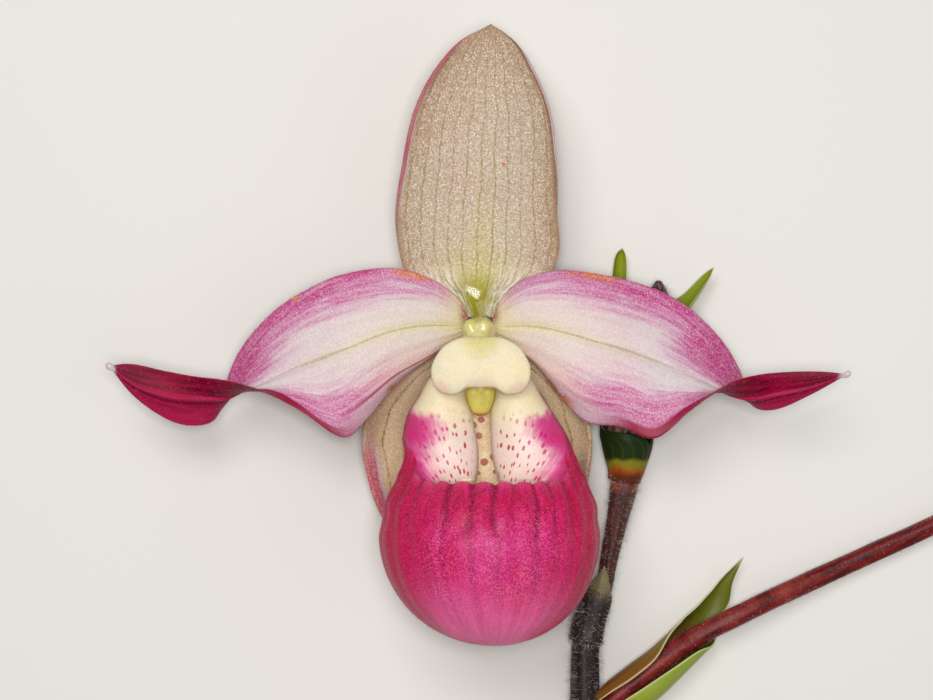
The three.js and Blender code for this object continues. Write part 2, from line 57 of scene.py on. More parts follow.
# Rows of three points from base to tip: first margin, midrib, second margin, in millimetres.
PETAL_LEFT = [
    [[-1.5, 1.6, -0.2], [-1.5, 0.5, -0.1], [-1.6, -0.6, -0.3]],
    [[-2.7, 3.9, -0.1], [-3.0, 0.5, 0.6], [-3.3, -1.9, -0.3]],
    [[-6.0, 6.3, 0.4], [-6.4, 0.5, 1.6], [-6.0, -4.3, 0.2]],
    [[-10.7, 7.6, 0.8], [-11.1, -0.3, 2.4], [-9.8, -7.2, 1.2]],
    [[-16.4, 6.9, 0.8], [-16.1, -2.2, 2.6], [-13.3, -11.0, 2.0]],
    [[-20.6, 5.2, 0.6], [-19.6, -3.6, 2.4], [-16.4, -13.1, 2.6]],
    [[-24.8, 2.6, 0.2], [-23.0, -4.8, 2.1], [-21.4, -9.8, 3.4]],
    [[-28.5, -1.2, -0.8], [-26.1, -6.2, 1.6], [-25.4, -7.6, 4.4]],
    [[-30.7, -5.0, -2.4], [-28.7, -7.3, 0.9], [-28.4, -6.5, 4.6]],
    [[-31.6, -8.8, -2.8], [-30.8, -8.3, 0.5], [-31.3, -5.9, 3.4]],
    [[-33.0, -11.3, -0.8], [-33.6, -8.4, 1.1], [-34.3, -5.6, 2.4]],
    [[-37.0, -11.2, 0.6], [-37.3, -8.1, 2.0], [-38.2, -4.9, 2.6]],
    [[-41.6, -8.2, 1.8], [-41.5, -6.7, 2.7], [-41.9, -4.1, 3.0]],
    [[-44.7, -4.3, 3.3], [-44.7, -4.3, 3.3], [-44.7, -4.3, 3.3]],
]
PETAL_RIGHT = [
    [[1.5, 1.6, -0.2], [1.5, 0.5, -0.1], [1.6, -0.6, -0.3]],
    [[2.5, 3.6, -0.1], [2.8, 0.4, 0.6], [3.2, -2.1, -0.3]],
    [[5.0, 6.1, 0.4], [6.0, 0.4, 1.6], [6.1, -4.7, 0.2]],
    [[9.6, 7.3, 0.8], [10.1, -0.3, 2.4], [9.0, -8.2, 1.2]],
    [[14.7, 6.8, 0.8], [14.5, -1.5, 2.6], [12.6, -11.4, 2.0]],
    [[19.4, 5.7, 0.6], [18.3, -2.7, 2.4], [16.9, -11.8, 2.6]],
    [[23.7, 3.9, 0.2], [21.7, -4.0, 2.1], [21.0, -13.1, 3.2]],
    [[27.5, 1.0, -0.4], [25.2, -5.3, 1.6], [24.8, -10.0, 3.8]],
    [[30.7, -2.7, -1.8], [28.1, -6.6, 1.1], [27.7, -7.7, 4.5]],
    [[32.8, -6.9, -3.0], [30.7, -7.8, 0.7], [30.2, -6.2, 4.2]],
    [[33.5, -9.3, -1.4], [33.2, -8.3, 0.9], [33.3, -5.4, 3.0]],
    [[36.0, -9.6, 0.2], [36.0, -7.8, 1.7], [36.4, -5.1, 2.7]],
    [[40.0, -7.8, 1.6], [40.0, -6.9, 2.5], [40.5, -5.0, 2.9]],
    [[44.3, -5.3, 3.3], [44.3, -5.3, 3.3], [44.3, -5.3, 3.3]],
]
# The small pale hook that ends each petal: x, y, z and radius.
PETAL_HOOK_LEFT = [[-43.9, -4.9, 3.2, 0.16], [-44.3, -4.6, 3.3, 0.38], [-44.65, -4.3, 3.4, 0.44],
                   [-44.85, -4.0, 3.35, 0.22]]
PETAL_HOOK_RIGHT = [[43.5, -5.7, 3.15, 0.15], [43.9, -5.5, 3.25, 0.34], [44.25, -5.25, 3.35, 0.40],
                    [44.45, -4.98, 3.3, 0.20]]
DORSAL_SEPAL = [
    [[-2.3, 1.5, -0.8], [0, 1.6, -1.6], [2.3, 1.5, -0.8]],
    [[-4.6, 3.6, -0.9], [-0.3, 3.9, -1.9], [4.3, 3.6, -0.9]],
    [[-8.4, 6.0, -0.8], [-0.5, 6.6, -1.7], [8.0, 6.0, -0.8]],
    [[-9.9, 9.7, 0.1], [-0.4, 10.3, -0.9], [9.7, 9.7, 0.1]],
    [[-10.1, 14.5, 1.4], [-0.1, 15.1, -0.4], [9.3, 14.5, 1.5]],
    [[-9.3, 19.9, 2.2], [0.1, 20.7, 0.2], [9.1, 19.9, 2.3]],
    [[-8.0, 25.9, 2.7], [0.5, 26.8, 0.8], [8.4, 25.9, 2.8]],
    [[-5.7, 30.7, 2.8], [0.8, 31.8, 1.4], [6.6, 30.7, 2.8]],
    [[-2.2, 34.8, 2.6], [1.2, 35.6, 2.1], [4.0, 34.8, 2.6]],
    [[1.3, 36.9, 2.3], [1.3, 36.9, 2.3], [1.3, 36.9, 2.3]],
]
LOWER_SEPAL = [
    [[-0.9, -2.6, -1.4], [0, -2.6, -1.6], [0.9, -2.6, -1.4]],
    [[-7.2, -3.7, -2.2], [0, -5.5, -4.4], [6.9, -3.7, -2.2]],
    [[-12.2, -7.4, -2.9], [0.2, -9.5, -7.8], [11.5, -7.4, -2.9]],
    [[-14.2, -12.8, -3.4], [0.3, -14.0, -9.8], [13.4, -12.8, -3.4]],
    [[-13.6, -18.0, -3.9], [0.3, -19.5, -10.15], [13.1, -18.0, -3.9]],
    [[-11.8, -23.0, -4.8], [0.4, -24.5, -10.15], [11.9, -23.0, -4.8]],
    [[-7.9, -28.2, -6.4], [0.5, -29.5, -9.9], [8.4, -28.2, -6.4]],
    [[0.6, -33.8, -8.8], [0.6, -33.8, -8.8], [0.6, -33.8, -8.8]],
]

# Rings of the pouch, widest first: y, middle x, half width, z of the widest point, front z, back z.
POUCH = [
    [-24.5, 1.13, 13.05, 8.6, 20.3, -3.0],
    [-20.5, 1.2, 12.5, 8.1, 18.8, -3.0],
    [-17.5, 1.24, 11.15, 7.3, 16.2, -2.8],
    [-15.0, 1.1, 10.15, 6.6, 13.8, -2.5],
    [-12.8, 0.6, 9.85, 6.0, 12.2, -2.2],
    [-10.0, 0.05, 8.7, 5.4, 10.6, -1.7],
    [-8.0, 0, 7.4, 4.8, 9.4, -1.4],
    [-6.0, 0, 6.3, 4.2, 8.2, -1.0],
    [-4.2, 0, 4.4, 3.0, 6.6, -0.6],
    [-2.0, 0, 1.5, 1.0, 2.6, 0.1],
]
POUCH_DROP = 12.8  # from the widest ring down to the bottom of the pouch
POUCH_FOOT = (1.7, 9.0)  # x and z of the bottom point
FRONT_RIM, NOTCH, NOTCH_TURN, RIM_TURN = 2, 4, 80, 46  # rows and degrees
FURROWS = [-180, -160, -141, -124, -108, -92, -77, -62, -48, -37, -25, -11, 2, 13.5,
           25.5, 36.5, 49, 62, 77, 92, 108, 124, 141, 160, 180]  # degrees round the pouch

# Rows of each infolded side lobe: y, half slot, slot x, shoulder x, shoulder z, crest z, edge z.
LOBE = [
    [-4.6, 3.0, 0.0, 4.5, 3.6, 6.6, 5.0],
    [-6.0, 2.1, 0.0, 6.0, 4.4, 8.0, 5.6],
    [-8.0, 1.8, 0.0, 7.1, 5.4, 9.0, 6.0],
    [-10.0, 1.1, 0.1, 8.4, 6.2, 9.7, 6.6],
    [-12.8, 0.8, 0.4, 9.35, 6.8, 10.2, 7.2],
    [-15.0, 0.75, 0.6, 9.0, 7.0, 10.3, 7.4],
    [-17.5, 1.15, 0.8, 8.6, 6.8, 10.0, 7.2],
    [-20.5, 2.2, 0.9, 6.4, 5.6, 8.6, 6.2],
]

# The right half of the staminode's outline, from the top middle to the notch below.
STAMINODE = [
    [0.05, -0.9], [2.3, -0.95], [4.3, -1.9], [5.5, -3.5], [5.9, -4.9], [5.6, -6.4],
    [4.7, -7.4], [3.4, -7.65], [2.3, -7.35], [1.7, -6.85], [0.05, -6.8],
]

# Stalks: x, y, z and radius from one end to the other.
COLUMN = [[0, 0, -1.4, 1.1], [0, 0, 0.5, 1.2], [0, -0.2, 2.5, 1.85], [-0.1, -0.4, 5.0, 1.9],
          [-0.2, -0.7, 7.2, 1.75], [-0.2, -1.3, 8.7, 1.5], [-0.05, -2.3, 9.65, 1.1],
          [0.05, -3.5, 10.2, 0.5]]
STIGMA_STALK = [[0, -3, 4.9, 0.8], [0, -4.6, 4.7, 0.8], [0.05, -7.4, 4.4, 0.9]]
ANTHER = [[1.5, -1.2, 5.2, 0.5], [3.0, -2.2, 5.6, 0.95], [3.3, -3.2, 5.8, 0.9],
          [3.4, -3.9, 5.9, 0.4]]
OVARY = [[17, -13.4, -6.2, 1.0], [17.1, -10.5, -5.9, 1.3], [16.3, -8.3, -5.3, 1.5],
         [14, -5.6, -4.8, 1.8], [9.4, -2.6, -4.7, 2.0], [4.6, -0.8, -5.0, 2.0],
         [1.6, -0.05, -4.4, 1.9], [0.2, 0, -3.2, 1.9], [0.1, 0, -2.1, 2.05]]
MAIN_STEM = [[10.5, -108, -8.7, 1.8], [11.5, -93, -8.7, 1.8], [12.5, -77, -8.7, 1.8],
             [13.1, -61, -8.7, 1.8], [13.2, -47.6, -8.7, 1.85], [13.3, -38.6, -8.6, 1.75],
             [14.1, -35.3, -8.5, 1.6], [15.4, -32, -8.3, 1.1], [16.3, -27.4, -8.0, 1.15],
             [17.2, -23, -7.7, 1.4], [18.1, -18.4, -7.5, 1.75], [18.75, -14, -7.7, 1.15],
             [19.6, -11, -7.4, 1.0], [20.5, -8.8, -7.2, 0.95]]
FLOWER_BUD = [[20.6, -8.4, -7.1, 0.95], [21, -5.6, -6.8, 1.6], [21.5, -1.8, -6.6, 2.05],
              [21.9, 2.2, -6.6, 1.85], [22.15, 4.8, -6.6, 1.2], [22.2, 6.2, -6.5, 0.3]]
SIDE_BRANCH = [[14.9, -47.0, -8.1, 1.3], [16.15, -46.2, -8.0, 1.3], [20.5, -42.8, -7.85, 1.3],
               [24.3, -39.9, -7.7, 1.3], [27.7, -37.7, -7.5, 1.3], [32.3, -35.4, -7.5, 1.3],
               [36.8, -33.3, -8.1, 1.3], [42.9, -30.6, -8.9, 1.25], [48.9, -27.9, -9.2, 1.2],
               [54.3, -25.5, -9.25, 1.15], [60.5, -22.6, -9.1, 1.1], [66, -19.9, -8.7, 1.05]]
BRANCH_END_BUD = [[66.4, -19.7, -8.65, 1.0], [68, -18.9, -8.4, 1.6], [70, -17.9, -8.3, 1.75],
                  [72.4, -16.6, -8.4, 1.2], [74, -15.7, -8.5, 0.3]]

# Bracts: x, y, z, radius, degrees from the keel to each margin, and the keel's direction.
BRACT_UPPER_LEFT = [
    [17.95, -18.7, -7.5, 1.92, 178, -0.9, 0, -0.45],
    [18.2, -16.9, -7.3, 2.3, 178, -0.9, 0, -0.45], [18.3, -13.8, -7.1, 3.1, 172, -0.9, 0, -0.5],
    [18.05, -11.9, -7.15, 3.05, 84, -0.75, 0, -0.95],
    [17.7, -10.2, -7.3, 2.8, 60, -0.8, 0, -0.8], [17, -6.8, -7.8, 2.3, 48, -0.2, 0, -1],
    [17.3, -1, -8.4, 1.8, 60, -0.3, 0, -1], [17.5, 5, -8.5, 1.1, 65, -0.3, 0, -1],
    [17.7, 9.0, -8.3, 0.8, 65, -0.3, 0, -1], [17.8, 10.3, -8.2, 0, 60, -0.3, 0, -1],
]
BRACT_UPPER_RIGHT = [
    [20.6, -8.9, -7.2, 1.7, 150, 0.9, 0, -0.6], [21.1, -5.4, -6.8, 2.35, 110, 0.9, 0, -0.6],
    [21.7, -1.6, -6.6, 2.75, 80, 0.9, 0, -0.6], [22.9, 2.2, -6.8, 2.45, 62, 0.9, 0, -0.6],
    [25.6, 4.6, -7.3, 1.45, 62, 0.9, -0.4, -0.6], [28.0, 7.0, -7.7, 0.75, 60, 0.9, -0.4, -0.6],
    [29.2, 7.9, -7.8, 0, 50, 0.9, -0.4, -0.6],
]
NODE_BRACT = [
    [13.2, -38.9, -8.5, 2.02, 105, -0.5, 0, 0.8], [13.9, -35.6, -8.4, 1.98, 100, -0.5, 0, 0.8],
    [15.1, -32.4, -8.0, 1.9, 75, -0.4, 0, 0.8], [15.4, -30.8, -7.1, 1.0, 65, -0.3, 0, 0.8],
    [15.5, -29.2, -6.6, 0, 60, -0.3, 0, 0.8],
]
BRANCH_BRACT = [
    [15.6, -47.1, -7.9, 2.2, 158, 0.17, -0.23, -0.96],
    [17.14, -46, -7.8, 2.4, 160, 0.17, -0.23, -0.96],
    [20.1, -43.95, -7.65, 2.6, 162, 0.14, -0.19, -0.97],
    [23.2, -41.4, -7.7, 2.4, 152, 0.12, -0.16, -0.98],
    [26.3, -38.4, -7.7, 2.35, 113, 0.24, -0.31, -0.92],
    [27.7, -37, -7.75, 2.4, 82, -0.08, 0.1, -0.99], [29, -35.2, -8.1, 1.9, 60, -0.26, 0.34, -0.91],
    [30, -33.5, -8.4, 1.5, 65, -0.1, 0.15, -1], [31, -31.2, -8.6, 0.75, 65, 0, 0, -1],
    [33, -28.25, -8.7, 0, 65, 0, 0, -1],
]
BRANCH_END_BRACT = [
    [65.4, -20.2, -8.75, 1.7, 85, -0.3, 0.6, 0.6], [67.8, -19, -8.4, 2.3, 80, -0.3, 0.6, 0.6],
    [70.4, -17.7, -8.3, 2.35, 65, -0.3, 0.6, 0.6], [75, -13.8, -8.2, 0, 50, -0.3, 0.6, 0.6],
]

WARM_SIDE = 0.2  # half the width of the change to the warm flush, on a bract's second side
CRYSTALS = 9200  # the finest cells of the skins, along a metre
TURNS_PER_RADIAN = 0.15915
WELD = 2e-6  # metres within which the points of a seam or pole are one
VOXEL = 0.00016  # metres, where overlapping shapes are melted into one skin
CLEAR = 0.0001  # metres from the part down to the floor, and up to a hair's tip

CAMERA = (-0.01679, 0.03312, 0.3255)  # metres, looking straight down
LIGHTS_AIM = (-0.015, 0.03, 0.0)
# Each soft light: its power in watts, the side of its square in metres, and its place.
LIGHTS = {
    "key_light": (0.85, 0.20, (-0.10, 0.20, 0.42)),
    "fill_light": (0.34, 0.45, (0.32, -0.12, 0.34)),
    "front_light": (1.02, 0.09, (-0.012, 0.036, 0.42)),
}


# ---------------------------------------------------------------- shapes as numbers


def metres(points):
    """Millimetres round the flower's centre, as metres of the part's frame."""
    return (np.asarray(points, float) - ORIGIN) / 1000


def smooth(rows, t):
    """A curve through the rows, read at t from 0 to 1."""
    rows = np.asarray(rows, float)
    last = len(rows) - 1
    rows = rows.reshape(last + 1, -1)
    rows = np.vstack([2 * rows[0] - rows[1], rows, 2 * rows[-1] - rows[-2]])
    place = np.clip(np.atleast_1d(t), 0, 1) * last
    i = np.clip(place.astype(int), 0, last - 1)
    f = (place - i)[:, None]
    a, b, c, d = rows[i], rows[i + 1], rows[i + 2], rows[i + 3]
    return b + 0.5 * f * (c - a + f * (2 * a - 5 * b + 4 * c - d + f * (3 * (b - c) + d - a)))


def step(value, low, high):
    """0 below low, 1 above high, smooth between; it falls where low is above high."""
    t = np.clip((value - low) / (high - low), 0, 1)
    return t * t * (3 - 2 * t)


def bell(value, width):
    """1 at 0, falling away on both sides."""
    return np.exp(-((value / width) ** 2))


def unit(vectors):
    return vectors / np.maximum(np.linalg.norm(vectors, axis=1, keepdims=True), 1e-12)


def ripple(a, b, seed):
    """Soft irregular waves of about one unit, the same each time for one seed."""
    draw = np.random.default_rng(seed)
    total, waves = 0, 5
    for _ in range(waves):
        fa, fb = draw.uniform(-6, 6, 2)
        total = total + np.sin(fa * a + fb * b + draw.uniform(0, 6.28))
    return total / waves


def vein(v, count, width):
    """1 along each of the veins that run from base to tip."""
    return step(np.abs(np.mod(v * count + 0.5, 1) - 0.5), width, 0.0)


def blade(rows, s, v, power=2.0):
    """A point of a leaf-like surface: s from base to tip, v from the first margin to the second."""
    first, mid, second = np.split(smooth(rows, s), 3, axis=1)
    v = v[:, None]
    return mid + (second - first) * v / 2 + ((first + second) / 2 - mid) * np.abs(v) ** power


def rolled(rows, s, v, side, roll):
    """The blade with one margin turned up and in by roll degrees, over its last tenth."""
    edge, share = 0.9, 0.96  # where the roll starts: in the grid, and across the blade
    beyond = np.clip((v * side - edge) / (1 - edge), 0, 1)
    inner = np.clip(v * side, -1, edge) * side
    reach = np.where(inner * side > 0, share / edge, 1.0)
    base = blade(rows, s, inner * reach)
    out = unit(base - blade(rows, s, (inner - 0.04 * side) * reach))
    along = unit(blade(rows, np.clip(s + 0.01, 0, 1), inner)
                 - blade(rows, np.clip(s - 0.01, 0, 1), inner))
    up = unit(np.cross(along, out))
    up *= np.where(up[:, 2:] < 0, -1, 1)
    full_turn = np.radians(np.maximum(roll, 12.0))
    turn = full_turn * beyond
    radius = (0.35 + 0.75 * roll / 140) / full_turn
    fade = step(s, 1.0, 0.86) * step(s, 0.0, 0.06)
    return base + ((radius * fade)[:, None]
                   * (out * np.sin(turn)[:, None] + up * (1 - np.cos(turn))[:, None]))


def heading(rows, s):
    """The way that a row of places runs at s."""
    before = smooth(rows, np.clip(s - 0.01, 0, 1))[:, :3]
    after = smooth(rows, np.clip(s + 0.01, 0, 1))[:, :3]
    return unit(after - before)


def channel(rows, s, v):
    """A bract's surface, and the way outward from its middle line."""
    part, along = smooth(rows, s), heading(rows, s)
    keel = part[:, 5:8]
    keel = unit(keel - along * np.sum(keel * along, axis=1, keepdims=True))
    beside = np.cross(along, keel)
    turn = (np.radians(part[:, 4]) * v)[:, None]
    out = keel * np.cos(turn) + beside * np.sin(turn)
    return part[:, :3] + out * np.maximum(part[:, 3:4], 0), out


def around(rows, s, angle, up):
    """A stalk's middle line, the way outward at this angle round it, and its radius."""
    part, along = smooth(rows, s), heading(rows, s)
    beside = unit(np.cross(along, np.broadcast_to(np.array(up, float), along.shape)))
    above = np.cross(beside, along)
    out = beside * np.cos(angle)[:, None] + above * np.sin(angle)[:, None]
    return part[:, :3], out, part[:, 3:4]


def pouch_point(height, angle, swell):
    """The outside of the pouch: height -1 is its bottom, 0 its widest ring, 9 its top."""
    y, middle, width, widest, front, back = smooth(POUCH, np.clip(height, 0, 9) / 9).T
    lat = np.where(height < 0, height * np.pi / 2, 0.0)
    ring, turn = np.cos(lat), np.radians(angle)
    depth = np.where(np.cos(turn) > 0, front - widest, widest - back)
    x = POUCH_FOOT[0] + (middle - POUCH_FOOT[0]) * ring + width * np.sin(turn) * ring
    z = POUCH_FOOT[1] + (widest - POUCH_FOOT[1]) * ring + depth * np.cos(turn) * ring
    out = np.column_stack((np.sin(turn) * ring, np.sin(lat), np.cos(turn) * ring))
    return np.column_stack((x, y + np.sin(lat) * POUCH_DROP, z)) + out * np.reshape(swell, (-1, 1))


def ridge(angle):
    """0 in a furrow and 1 on the ridge between two furrows."""
    phase = np.interp(angle, FURROWS, np.arange(len(FURROWS)))
    return np.abs(np.sin(np.pi * phase))


def at_front(angle):
    """1 along the pouch's open front rim, 0 beyond the notches beside it."""
    return step(np.abs(angle), NOTCH_TURN, RIM_TURN)


def rim_height(angle):
    """Where the wall ends: low across the front, rising to the notches, with a dip at a furrow."""
    open_rim = at_front(angle)
    height = NOTCH - (NOTCH - FRONT_RIM) * open_rim
    return height - 0.20 * open_rim * (1 - ridge(angle)) ** 1.5


# ---------------------------------------------------------------- Blender's own tools


def clear_selection():
    """Leaves every object unselected, so an operator acts on the new one alone."""
    if bpy.context.object and bpy.context.object.mode != "OBJECT":
        bpy.ops.object.mode_set(mode="OBJECT")
    bpy.ops.object.select_all(action="DESELECT")


def select_only(piece):
    clear_selection()
    piece.select_set(True)
    bpy.context.view_layer.objects.active = piece


def points_of(piece, what="co"):
    data = np.empty(len(piece.data.vertices) * 3, np.float32)
    piece.data.vertices.foreach_get(what, data)
    return data.reshape(-1, 3).astype(float)


def set_points(piece, points):
    piece.data.vertices.foreach_set("co", np.asarray(points, np.float32).ravel())
    piece.data.update()


def note(piece, **marks):
    """Keeps numbers for each point, for the finish to read."""
    for name, values in marks.items():
        mark = piece.data.attributes.new(name, "FLOAT", "POINT")
        mark.data.foreach_set("value", np.asarray(values, np.float32))


def weld(piece, consistent=False):
    """Closes the seams and poles of a bent grid."""
    select_only(piece)
    bpy.ops.object.mode_set(mode="EDIT")
    bpy.ops.mesh.select_all(action="SELECT")
    bpy.ops.mesh.remove_doubles(threshold=WELD)
    if consistent:
        bpy.ops.mesh.normals_make_consistent(inside=False)
    bpy.ops.object.mode_set(mode="OBJECT")


def turn_faces(piece):
    select_only(piece)
    bpy.ops.object.mode_set(mode="EDIT")
    bpy.ops.mesh.select_all(action="SELECT")
    bpy.ops.mesh.flip_normals()
    bpy.ops.object.mode_set(mode="OBJECT")


def join(pieces):
    """Makes one object of several: the first one."""
    select_only(pieces[0])
    for other in pieces[1:]:
        other.select_set(True)
    bpy.ops.object.join()
    return pieces[0]


def grid(name, along, across):
    """A flat grid to bend, with s from 0 to 1 along it and v from -1 to 1 across."""
    clear_selection()
    bpy.ops.mesh.primitive_grid_add(x_subdivisions=along, y_subdivisions=across, size=2)
    piece = bpy.context.object
    piece.name = piece.data.name = name
    flat = points_of(piece)
    return piece, (flat[:, 0] + 1) / 2, flat[:, 1]


def sheet(name, along, across, shape, relief=None, closed=False):
    """A grid bent into shape(s, v), which gives points and the way its front faces."""
    piece, s, v = grid(name, along, across)
    points, front = shape(s, v)
    set_points(piece, metres(points))
    if np.sum(points_of(piece, "normal") * front) < 0:
        turn_faces(piece)
    if relief is not None:
        set_points(piece, points_of(piece) + points_of(piece, "normal")
                   * np.reshape(relief(s, v), (-1, 1)) / 1000)
    note(piece, along=s, across=v)
    weld(piece, consistent=closed)
    return piece


def shaped(piece, kind, **settings):
    """Adds one modifier and applies it."""
    select_only(piece)
    bpy.ops.object.modifier_add(type=kind)
    modifier = piece.modifiers[-1]
    for key, value in settings.items():
        setattr(modifier, key, value)
    bpy.ops.object.modifier_apply(modifier=modifier.name)


def rounder(piece):
    shaped(piece, "SUBSURF", levels=1, render_levels=1)


def thicken(piece, thickness, offset=-1.0, back=1):
    """Gives a sheet its wall and a round rim; the back takes the finish that is back places on."""
    shaped(piece, "SOLIDIFY", thickness=thickness, offset=offset, use_even_offset=False,
           thickness_clamp=1.0, material_offset=back)
    rounder(piece)


def finished(piece, *finishes):
    """Gives a piece these finishes and no others."""
    piece.data.materials.clear()
    for finish in finishes:
        piece.data.materials.append(finish)
    return piece


def melt(piece, finish, factor, iterations):
    """Turns overlapping shapes into one soft skin."""
    shaped(piece, "REMESH", mode="VOXEL", voxel_size=VOXEL)
    shaped(piece, "SMOOTH", factor=factor, iterations=iterations)
    finished(piece, finish)


def place(piece, slot, *nodes):
    """Smooth-shades the piece, fixes it to the stem's body and hides the solids it stands for."""
    select_only(piece)
    bpy.ops.object.shade_smooth()
    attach(piece, "root")
    if nodes:
        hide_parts(*nodes)


def stalk(name, rows, rings, sides, finish, relief=None, up=(0, 0, 1)):
    """A closed tapering tube along the rows, with its ends capped."""

    def shape(s, v):
        inner = np.clip((s * rings - 1) / (rings - 2), 0, 1)
        angle = v * np.pi
        centre, out, radius = around(rows, inner, angle, up)
        if relief is not None:
            radius = radius + np.reshape(relief(inner, angle), (-1, 1))
        radius = np.where(((s < 1e-6) | (s > 1 - 1e-6))[:, None], 0, radius)
        return centre + out * radius, out

    return finished(sheet(name, rings, sides, shape, closed=True), finish)


def pillow(name, outline, centre, top, bottom, sides, rings, finish, swell, tilt=0.0):
    """A soft closed pad with this outline round its centre: top and bottom are its half heights."""
    outline = np.asarray(outline, float)
    reach = np.hypot(*(outline - centre[:2]).T)
    bearing = np.arctan2(*(outline - centre[:2]).T[::-1])
    order = np.argsort(bearing)
    lean = math.radians(tilt)

    def shape(s, v):
        angle, lat = (2 * s - 1) * np.pi, v * np.pi / 2
        radius = np.interp(angle, bearing[order], reach[order], period=2 * np.pi)
        ring = np.maximum(np.cos(lat), 0) ** 0.5
        flat = np.column_stack((np.cos(angle), np.sin(angle))) * (radius * ring)[:, None]
        high = np.sin(lat) * np.where(lat > 0, top, bottom)
        high = high + swell(flat[:, 0] + centre[0], flat[:, 1] + centre[1]) * (lat > 0) * (
            np.abs(np.sin(lat)))
        y = flat[:, 1] * math.cos(lean) - high * math.sin(lean)
        z = flat[:, 1] * math.sin(lean) + high * math.cos(lean)
        out = np.column_stack((flat[:, 0], y, z))
        return out + centre, out

    return finished(sheet(name, sides, rings, shape, closed=True), finish)


def scatter(piece, count, seed, keep=None):
    """Points spread evenly over a piece's skin, with the way outward at each."""
    mesh = piece.data
    mesh.calc_loop_triangles()
    corners = np.empty(len(mesh.loop_triangles) * 3, np.int32)
    mesh.loop_triangles.foreach_get("vertices", corners)
    corners = corners.reshape(-1, 3)
    points, normals = points_of(piece), points_of(piece, "normal")
    a, b, c = (points[corners[:, i]] for i in range(3))
    area = np.linalg.norm(np.cross(b - a, c - a), axis=1)
    draw = np.random.default_rng(seed)
    if keep is not None:
        marks = {}
        for name in ("along", "across"):
            if name in mesh.attributes:
                values = np.empty(len(points), np.float32)
                mesh.attributes[name].data.foreach_get("value", values)
                marks[name] = values[corners].mean(1)
        area = area * keep((a + b + c) / 3, normals[corners].mean(1), marks)
    chosen = draw.choice(len(corners), count, p=area / area.sum())
    r1, r2 = np.sqrt(draw.random((count, 1))), draw.random((count, 1))
    weight = (1 - r1, r1 * (1 - r2), r1 * r2)
    roots = sum(w * points[corners[chosen, i]] for i, w in enumerate(weight))
    out = unit(sum(w * normals[corners[chosen, i]] for i, w in enumerate(weight)))
    return roots, out


def hairs(piece, name, slot, finish, count, seeds, length, radius, spread, keep=None, bent=False):
    """Fine tapering hairs on a piece, in one mesh; bent ones have a second joint."""
    roots, out = scatter(piece, count, seeds[0], keep)
    draw = np.random.default_rng(seeds[1])
    way = unit(out + draw.normal(0, spread, (count, 3)))
    size = length * draw.uniform(0.45, 1.15, (count, 1))
    side = unit(np.cross(way, draw.normal(0, 1, (count, 3))))
    other = np.cross(way, side)
    tips = roots + way * size
    if bent:
        tips = tips + unit(draw.normal(0, 1, (count, 3))) * size * 0.28
    above_floor = tips[:, 2] > CLEAR
    roots, way, size, side, other, tips = (
        x[above_floor] for x in (roots, way, size, side, other, tips))
    rings = []
    for level, wide in [(-0.04, 1.0), (0.5, 0.75)] if bent else [(-0.08, 1.0)]:
        for turn in 2.0944 * np.arange(3):
            rings.append(roots + way * size * level
                         + (side * math.cos(turn) + other * math.sin(turn)) * radius * wide)
    verts = np.stack([*rings, tips], axis=1)
    faces = [(2, 1, 0)]
    for corner in range(3):
        following = (corner + 1) % 3
        if bent:
            faces += [(corner, following, following + 3), (corner, following + 3, corner + 3),
                      (corner + 3, following + 3, 6)]
        else:
            faces.append((corner, following, 3))
    starts = np.arange(len(verts))[:, None, None] * verts.shape[1]
    mesh = bpy.data.meshes.new(name)
    mesh.from_pydata(verts.reshape(-1, 3).tolist(), [],
                     (starts + np.array(faces)[None]).reshape(-1, 3).tolist())
    coat = bpy.data.objects.new(name, mesh)
    bpy.context.scene.collection.objects.link(coat)
    place(finished(coat, finish), slot)


# ---------------------------------------------------------------- finishes


def tone(code):
    """A colour written as six hexadecimal digits, in linear light."""
    parts = [int(code[i:i + 2], 16) / 255 for i in (0, 2, 4)]
    return tuple(c / 12.92 if c <= 0.04045 else ((c + 0.055) / 1.055) ** 2.4 for c in parts)


def darker(colour, share):
    """The colour with only this share of its light."""
    return tuple(c * share for c in colour)


